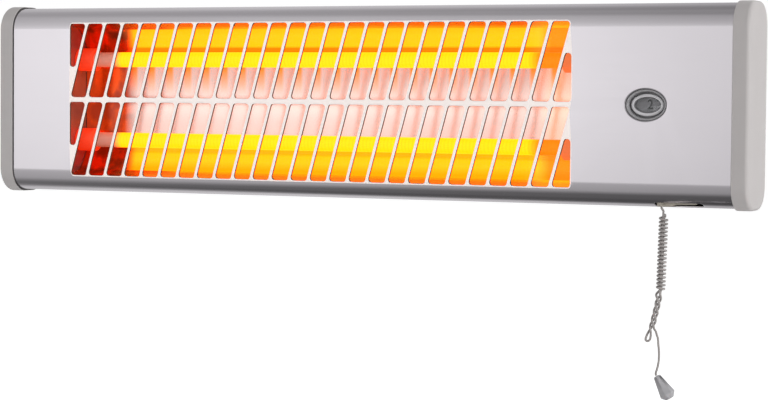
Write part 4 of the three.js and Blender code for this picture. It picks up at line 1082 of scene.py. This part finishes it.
DIAL_FRONT = 7.6
DIAL_BORE = 2.1
NUMBER_RADIUS = 11.0
NUMBER_SIZE = 5.4 * 1.38  # the figures are 5.4 high
NUMBER_ASIDE = 0.6
NUMBER_BOLDNESS = 0.12
NUMBER_THICKNESS = 0.06


def dial():
    rim = [(8.8, DIAL_BORE), (8.8, 18.2), (8.5, 18.5), (7.9, 18.5), (7.6, 18.2), (7.6, DIAL_BORE)]
    disc = lathe(rim, along_y(WINDOW_X, DIAL_Z), 72, True)
    profile = [(8.5, DIAL_BORE), (8.5, 4.5), (11.2, 4.5), (11.2, DIAL_BORE)]
    hub = lathe(profile, along_y(WINDOW_X, DIAL_Z), 32, True)
    teeth = []
    for tooth in range(6):
        for reach, at in ((5.85, 60 * tooth), (7.5, 60 * tooth + 51)):
            x, z = polar(at, reach)
            teeth.append((WINDOW_X + x, DIAL_Z + z, 0, 0))
    ratchet = plate(teeth, round_holes(DIAL_BORE, [(WINDOW_X, DIAL_Z)], 32), 8.6, 10.0)
    piece("dial_disc", joined(disc, hub, moved(ratchet, facing_front)), DIAL, "indicator_dial", "dial")
    for place in range(6):
        number(f"dial_number_{place + 1}", str((2 + place) % 3), 60 * place)


def number(name, text, turned_by):
    """One printed number on the dial, upright when it has turned to the window."""
    data = bpy.data.curves.new(name, "FONT")
    data.body = text
    data.size = NUMBER_SIZE * MM
    data.extrude = NUMBER_THICKNESS / 2 * MM
    data.offset = NUMBER_BOLDNESS * MM
    data.align_x, data.align_y = "CENTER", "CENTER"
    written = bpy.data.objects.new(name, data)
    mesh = bpy.data.meshes.new_from_object(written)
    bpy.data.objects.remove(written)
    upright_text = Matrix.Rotation(pi / 2, 4, "X")
    raised = Matrix.Translation(Vector((NUMBER_ASIDE, 0, NUMBER_RADIUS)) * MM)
    around = Matrix.Rotation(radians(turned_by), 4, "Y")
    centre = Matrix.Translation(to_metres((WINDOW_X, DIAL_FRONT - NUMBER_THICKNESS / 2, DIAL_Z)))
    mesh.transform(centre @ around @ raised @ upright_text)
    carried(name, mesh, (PRINT,), "dial")


window()
dial()

# ---- switch lever


def lever():
    tip, bottom = LEVER_TIP_X, LEVER_BOTTOM_Z
    pivot_x, pivot_z = LEVER_PIVOT
    front, rear = LEVER_DEPTH - 2.3, LEVER_DEPTH + 2.3
    corners = [(tip + 2.25, bottom), (tip + 5, bottom), (tip + 9.5, bottom + 1.3),
               (pivot_x - 2.6, bottom + 1.5), (pivot_x - 2.2, pivot_z - 3.8),
               (pivot_x - 2.2, pivot_z + 3.4), (tip + 5, bottom + 5.2), (tip + 2.25, bottom + 4.0)]
    arm = moved(plate(rounded(corners, 0.8, 6), [], front, rear, 0.5, 0.5, 4), facing_front)
    top = bottom + 4.7
    socket = BALL.z + BALL_RADIUS + GAP
    boss = [(socket, 0.0), (socket, 1.8), (bottom + 0.3, 1.8), (bottom, 2.1), (bottom, 2.5),
            (bottom + 0.4, 2.9), (top - 0.4, 2.9), (top, 2.5), (top, 0.0)]
    hub = [(front, 1.8), (front, 3.7), (front + 0.3, 4.0), (rear - 0.3, 4.0), (rear, 3.7), (rear, 1.8)]
    turned_parts = (lathe(boss, along_z(tip, LEVER_DEPTH)), lathe(hub, along_y(pivot_x, pivot_z), 32, True))
    piece("lever_arm", joined(arm, *turned_parts), LEVER, "switch_lever", "lever")


lever()

# ---- back, bracket and fasteners

EAR_INNER = HALF_BRACKET + GAP
BRACKET_SHEET = 2.0
RIVET_X = EAR_INNER + 13.0
RIVET_Z = 10.0
EAR_FRONT = BODY_DEPTH + GAP
EAR_REAR = EAR_FRONT + BRACKET_SHEET
RIVET_HOLE = 2.2
PIVOT_HOLE = round_holes(2.8, [(PIVOT_DEPTH, 0)], 24, 0.2)
EAR_RADIUS = 7.0
SCREW_Z = 41.0
SCREWS = [(x, z) for x in SCREW_XS for z in (-SCREW_Z, SCREW_Z)]
SWITCH_SCREWS = [(187.0, -20.0), (226.0, -26.8)]
VENT_STARTS = (66.75 - HALF_PANEL, HALF_PANEL - 206.75)
VENT_LENGTH, VENT_HEIGHT, VENT_PITCH = 26, 3.6, 40
VENT_ZS = (-27.0, 23.0)


def back_plate():
    end, top = HALF_PANEL - GAP, HALF_HEIGHT - REAR_RADIUS - GAP
    holes = []
    for x in (start + VENT_PITCH * i for start in VENT_STARTS for i in range(3)):
        vents = [rectangle(x, x + VENT_LENGTH, z, z + VENT_HEIGHT, 1.75, 6) for z in VENT_ZS]
        holes += [(vent, 0.25) for vent in vents]
    holes += round_holes(SCREW_HOLE, SCREWS + SWITCH_SCREWS)
    holes += round_holes(RIVET_HOLE, [(x, z) for x in (-RIVET_X, RIVET_X) for z in (-RIVET_Z, RIVET_Z)])
    holes += round_holes(GLAND_HOLE, [(GLAND_X, 0)], 32)
    made = plate(rectangle(-end, end, -top, top, 1.0), holes, BODY_DEPTH - SHEET, BODY_DEPTH, 0.25, 0.25)
    piece("back_sheet", made, BACK, "back_plate", place=facing_front, sharp=40, weighted=True)
    for kind, places in (("back", SCREWS), ("switch", SWITCH_SCREWS)):
        for i, (x, z) in enumerate(places):
            screw_head(f"{kind}_screw_{i + 1}", x, z)


def cross(arm, half_width):
    quarter = ((half_width, -half_width), (arm, -half_width), (arm, half_width))
    return [rotated(u, v, 90 * i) for i in range(4) for u, v in quarter]


def screw_head(node, x, z):
    """A pan head with a cross recess, on its shank."""
    rear = EAR_FRONT + 1.8
    head = lathe([(EAR_FRONT, 0), (EAR_FRONT, 2.9), (EAR_FRONT + 0.2, 3.0), (rear - 0.9, 2.95),
                  (rear - 0.35, 2.6), (rear - 0.1, 2.0), (rear, 1.8)], along_y(0, 0))
    face = [f for f in head.faces if all(abs(v.co.y - rear) < 0.001 for v in f.verts)]
    ring = list(face[0].verts)
    bmesh.ops.delete(head, geom=face, context="FACES_ONLY")
    edge = [head.verts.new((u, rear, v)) for u, v in cross(1.5, 0.32)]
    sunk = [head.verts.new((u * 0.7, rear - 0.9, v * 0.7)) for u, v in cross(1.5, 0.32)]
    bridge(head, edge, sunk)
    head.faces.new(sunk)
    fill(head, [ring, edge], lambda vertex: vertex.co.xz)
    shank = lathe([(EAR_FRONT - 6, 0), (EAR_FRONT - 6, 1.0), (EAR_FRONT - 5.4, 1.5), (EAR_FRONT + 0.2, 1.5),
                   (EAR_FRONT + 0.2, 0)], along_y(0, 0), 20)

    def place(u, depth, v):
        across, rise = rotated(u, v, (x * 7 + z * 13) % 90)
        return (x + across, depth, z + rise)

    piece(f"{node}_head", joined(head, shank), ZINC, node, place=place)


def ear(root, half_height, inner):
    """An ear from a straight root at a depth to a round tip about the tilt axis."""
    slope = degrees(atan2(half_height - EAR_RADIUS, abs(PIVOT_DEPTH - root)))
    tip = arc(abs(PIVOT_DEPTH - root), 0, EAR_RADIUS, slope - 90, 90 - slope, 20)
    outline = [(0, -half_height, -1, -1), *tip, (0, half_height, -1, 1)]
    if PIVOT_DEPTH > root:
        outline = [(root + u, v, nu, nv) for u, v, nu, nv in outline]
    else:
        outline = [(root - u, v, -nu, nv) for u, v, nu, nv in reversed(outline)]
    return moved(plate(outline, PIVOT_HOLE, inner, inner + BRACKET_SHEET, 0.3, 0.3), facing_right)


def housing_ears():
    for side in ("right", "left"):
        holes = round_holes(RIVET_HOLE, [(RIVET_X, -RIVET_Z), (RIVET_X, RIVET_Z)])
        foot = rectangle(EAR_INNER, EAR_INNER + 20, -15, 15, 2.0)
        base = moved(plate(foot, holes, EAR_FRONT, EAR_REAR, 0.3, 0.3), facing_front)
        whole = joined(base, ear(EAR_FRONT, 15, EAR_INNER))
        if side == "left":
            mirrored(whole)
        piece(f"ear_{side}", whole, ZINC, f"housing_ear_{side}")
        sign = 1 if side == "right" else -1
        inner = BODY_DEPTH - SHEET - GAP
        for i, z in enumerate((RIVET_Z, -RIVET_Z)):
            profile = [(inner - 1.2, 0), (inner - 1.1, 1.6), (inner - 0.6, 2.9), (inner, 3.3), (inner, 1.9),
                       (EAR_REAR + GAP, 1.9), (EAR_REAR + GAP, 3.3), (EAR_REAR + 0.9, 2.9),
                       (EAR_REAR + 1.4, 1.6), (EAR_REAR + 1.5, 0)]
            rivet = lathe(profile, along_y(sign * RIVET_X, z), 32)
            piece(f"rivet_{side}_{i + 1}", rivet, ZINC, f"ear_rivet_{side}_{i + 1}")


KEYHOLE_X = 70.0
KEYHOLE_HEAD, KEYHOLE_SLOT, KEYHOLE_RISE = 4.5, 2.6, 4.5


def wall_bracket():
    holes = []
    for x in (-KEYHOLE_X, KEYHOLE_X):
        edge = degrees(acos(KEYHOLE_SLOT / KEYHOLE_HEAD))
        head = arc(x, -KEYHOLE_RISE, KEYHOLE_HEAD, 180 - edge, 360 + edge, 24)
        holes.append((head + arc(x, KEYHOLE_RISE, KEYHOLE_SLOT, 0, 180, 14), 0.2))
    outline = rectangle(-HALF_BRACKET, HALF_BRACKET, -17, 17, 1.5)
    base = plate(outline, holes, FRONT_TO_WALL - BRACKET_SHEET, FRONT_TO_WALL, 0.4, 0.2)
    starts = (-HALF_BRACKET, HALF_BRACKET - BRACKET_SHEET)
    ears = [ear(FRONT_TO_WALL - BRACKET_SHEET / 2, 13, x) for x in starts]
    whole = joined(moved(base, facing_front), *ears)
    piece("bracket_sheet", whole, ZINC, "wall_bracket", "wall_mount")


def pivots():
    head = HALF_BRACKET + GAP + BRACKET_SHEET + GAP
    nut = HALF_BRACKET - BRACKET_SHEET - GAP
    for side, sign in (("right", 1), ("left", -1)):
        profile = [(nut - 6, 0), (nut - 6, 2.1), (nut - 5.6, 2.5), (head, 2.5), (head, 4.3),
                   (head + 0.2, 4.5), (head + 2.0, 4.4), (head + 2.7, 3.8), (head + 3.0, 2.9),
                   (head + 3.0, 2.0), (head + 1.4, 1.9), (head + 1.4, 0)]
        bolt = lathe([(sign * a, r) for a, r in profile], along_x(PIVOT_DEPTH, 0), 36)
        piece(f"pivot_bolt_{side}_shape", bolt, ZINC, f"pivot_bolt_{side}", "wall_mount")
        corners = [(u, v) for u, v, _, _ in circle(4.6, 6, PIVOT_DEPTH)]
        made = moved(plate(rounded(corners, 0.4, 2), PIVOT_HOLE, nut - 4, nut, 0.25, 0.25), facing_right)
        if side == "left":
            mirrored(made)
        piece(f"pivot_nut_{side}_shape", made, ZINC, f"pivot_nut_{side}", "wall_mount")


def gland():
    rear = EAR_FRONT + 12
    inner = BODY_DEPTH - SHEET - 8
    profile = [(inner, 4.0), (inner, 6.5), (BODY_DEPTH + 0.2, 6.5), (EAR_FRONT, 7.9), (EAR_FRONT + 5, 8.0),
               (EAR_FRONT + 5.4, 7.0), (rear - 1.0, 6.4), (rear, 5.9), (rear, 4.0)]
    body = lathe(profile, along_y(GLAND_X, 0), 40, True)
    grip = [(EAR_FRONT + 5.4, 0), (EAR_FRONT + 5.4, 0.8), (rear - 1.4, 0.6), (rear - 1.0, 0)]
    grips = [lathe(grip, along_y(x, z), 8) for x, z, _, _ in circle(6.6, 12, GLAND_X)]
    piece("gland_shape", joined(body, *grips), BEZEL, "cable_gland")


back_plate()
housing_ears()
wall_bracket()
pivots()
gland()


# ---- finishes of the CAD nodes that stay

FINISHES = {
    "reflector_end": REFLECTOR_BACK,
    "terminal_pin": ZINC,
    "return_spring": ZINC,
    "switch_body": SWITCH,
    "terminal_block": SWITCH,
    "thermal_cutout": MICA,
    "heat_shield": MICA,
    "wire": WIRE,
}
for node, shown in frame["nodes"].items():
    for start, look in FINISHES.items():
        if node.startswith(start):
            shown.data.materials.clear()
            shown.data.materials.append(look.material)
            soften(shown, 0.15, 50)

# ---- floor, light and background

FLOOR_Z = -0.42
FLOOR_LEVEL = 0.67
scene.view_settings.view_transform = "Standard"


def floor():
    bm = bmesh.new()
    bmesh.ops.create_grid(bm, x_segments=1, y_segments=1, size=30)
    mesh = bpy.data.meshes.new("floor")
    bm.to_mesh(mesh)
    bm.free()
    made = added("floor", mesh)
    made.location = (0, 0, FLOOR_Z)
    look = Look("floor", (0.9, 0.9, 0.9), 0.9).set("Emission Color", (1, 1, 1))
    seen = look.node("LightPath").outputs["Is Camera Ray"]
    look.set("Emission Strength", look.scaled(seen, 0.0, FLOOR_LEVEL))
    mesh.materials.append(look.material)
    made.visible_glossy = False


# What metal reflects of the studio in front of the heater and behind it, as (height of the direction,
# level), and a factor to it, as (how far the direction is to the right, factor).
STUDIO_FRONT = [(-1, 0.09), (-0.85, 0.10), (-0.68, 0.31), (-0.17, 0.38), (-0.05, 0.62), (-0.01, 0.84),
                (0.05, 0.84), (0.10, 0.60), (0.40, 0.48), (0.78, 0.38), (0.88, 0.26), (1, 0.30)]
STUDIO_BEHIND = [(-1, 0.07), (-0.86, 0.07), (-0.72, 0.45), (0, 0.47), (0.72, 0.42), (0.93, 0.24), (1, 0.24)]
STUDIO_ASIDE = [(-1, 1.1), (-0.58, 1.1), (-0.54, 1.27), (-0.45, 1.45), (-0.40, 1.36), (-0.345, 1.30),
                (-0.277, 0.96), (-0.20, 0.85), (1, 0.82)]
STUDIO_TINT = (1, 0.99, 1.01)
DIFFUSE_LEVEL = 0.37


def world():
    """White to the camera and through glass, a plain level for diffuse light, and the studio in metal."""
    scene.world = bpy.data.worlds.new("studio")
    tree = Nodes(scene.world)
    direction = tree.node("SeparateXYZ", Vector=tree.node("TexCoord").outputs["Generated"]).outputs

    def ramped(axis, stops):
        ramp = tree.node("ValToRGB", Fac=tree.ranged(direction[axis], -1, 1))
        while len(ramp.color_ramp.elements) < len(stops):
            ramp.color_ramp.elements.new(0.5)
        for element, (at, value) in zip(ramp.color_ramp.elements, stops):
            element.position = (at + 1) / 2
            element.color = (value, value, value, 1)
        return ramp.outputs["Color"]

    behind = tree.ranged(direction["Y"], -0.05, 0.05)
    studio = tree.mixed(behind, ramped("Z", STUDIO_FRONT), ramped("Z", STUDIO_BEHIND))
    studio = tree.mixed(1.0, studio, ramped("X", STUDIO_ASIDE), "MULTIPLY")
    studio = tree.mixed(1.0, studio, STUDIO_TINT, "MULTIPLY")
    path = tree.node("LightPath").outputs
    shown = tree.mixed(path["Is Glossy Ray"], (DIFFUSE_LEVEL,) * 3, studio)
    for ray in ("Is Transmission Ray", "Is Camera Ray"):
        shown = tree.mixed(path[ray], shown, (1, 1, 1))
    tree.put(shown, tree.nodes["Background"].inputs["Color"])


def lamp(name, place, target, size, power):
    data = bpy.data.lights.new(name, "AREA")
    data.shape = "RECTANGLE"
    data.size, data.size_y = size
    data.energy = power
    made = added(name, data)
    made.location = place
    aim = Vector(target) - Vector(place)
    made.rotation_euler = aim.to_track_quat("-Z", "Y").to_euler()
    made.visible_glossy = False


floor()
world()
lamp("lamp_left", (-1.5, -1.3, 0.6), (-0.1, 0, 0), (1.6, 1.2), 11)
lamp("lamp_right", (2.3, -0.5, 0.6), (0.2, 0, 0), (1.2, 1.2), 34)
lamp("lamp_back", (0.3, 1.4, 1.3), (0, 0, 0), (1.6, 1.0), 14)
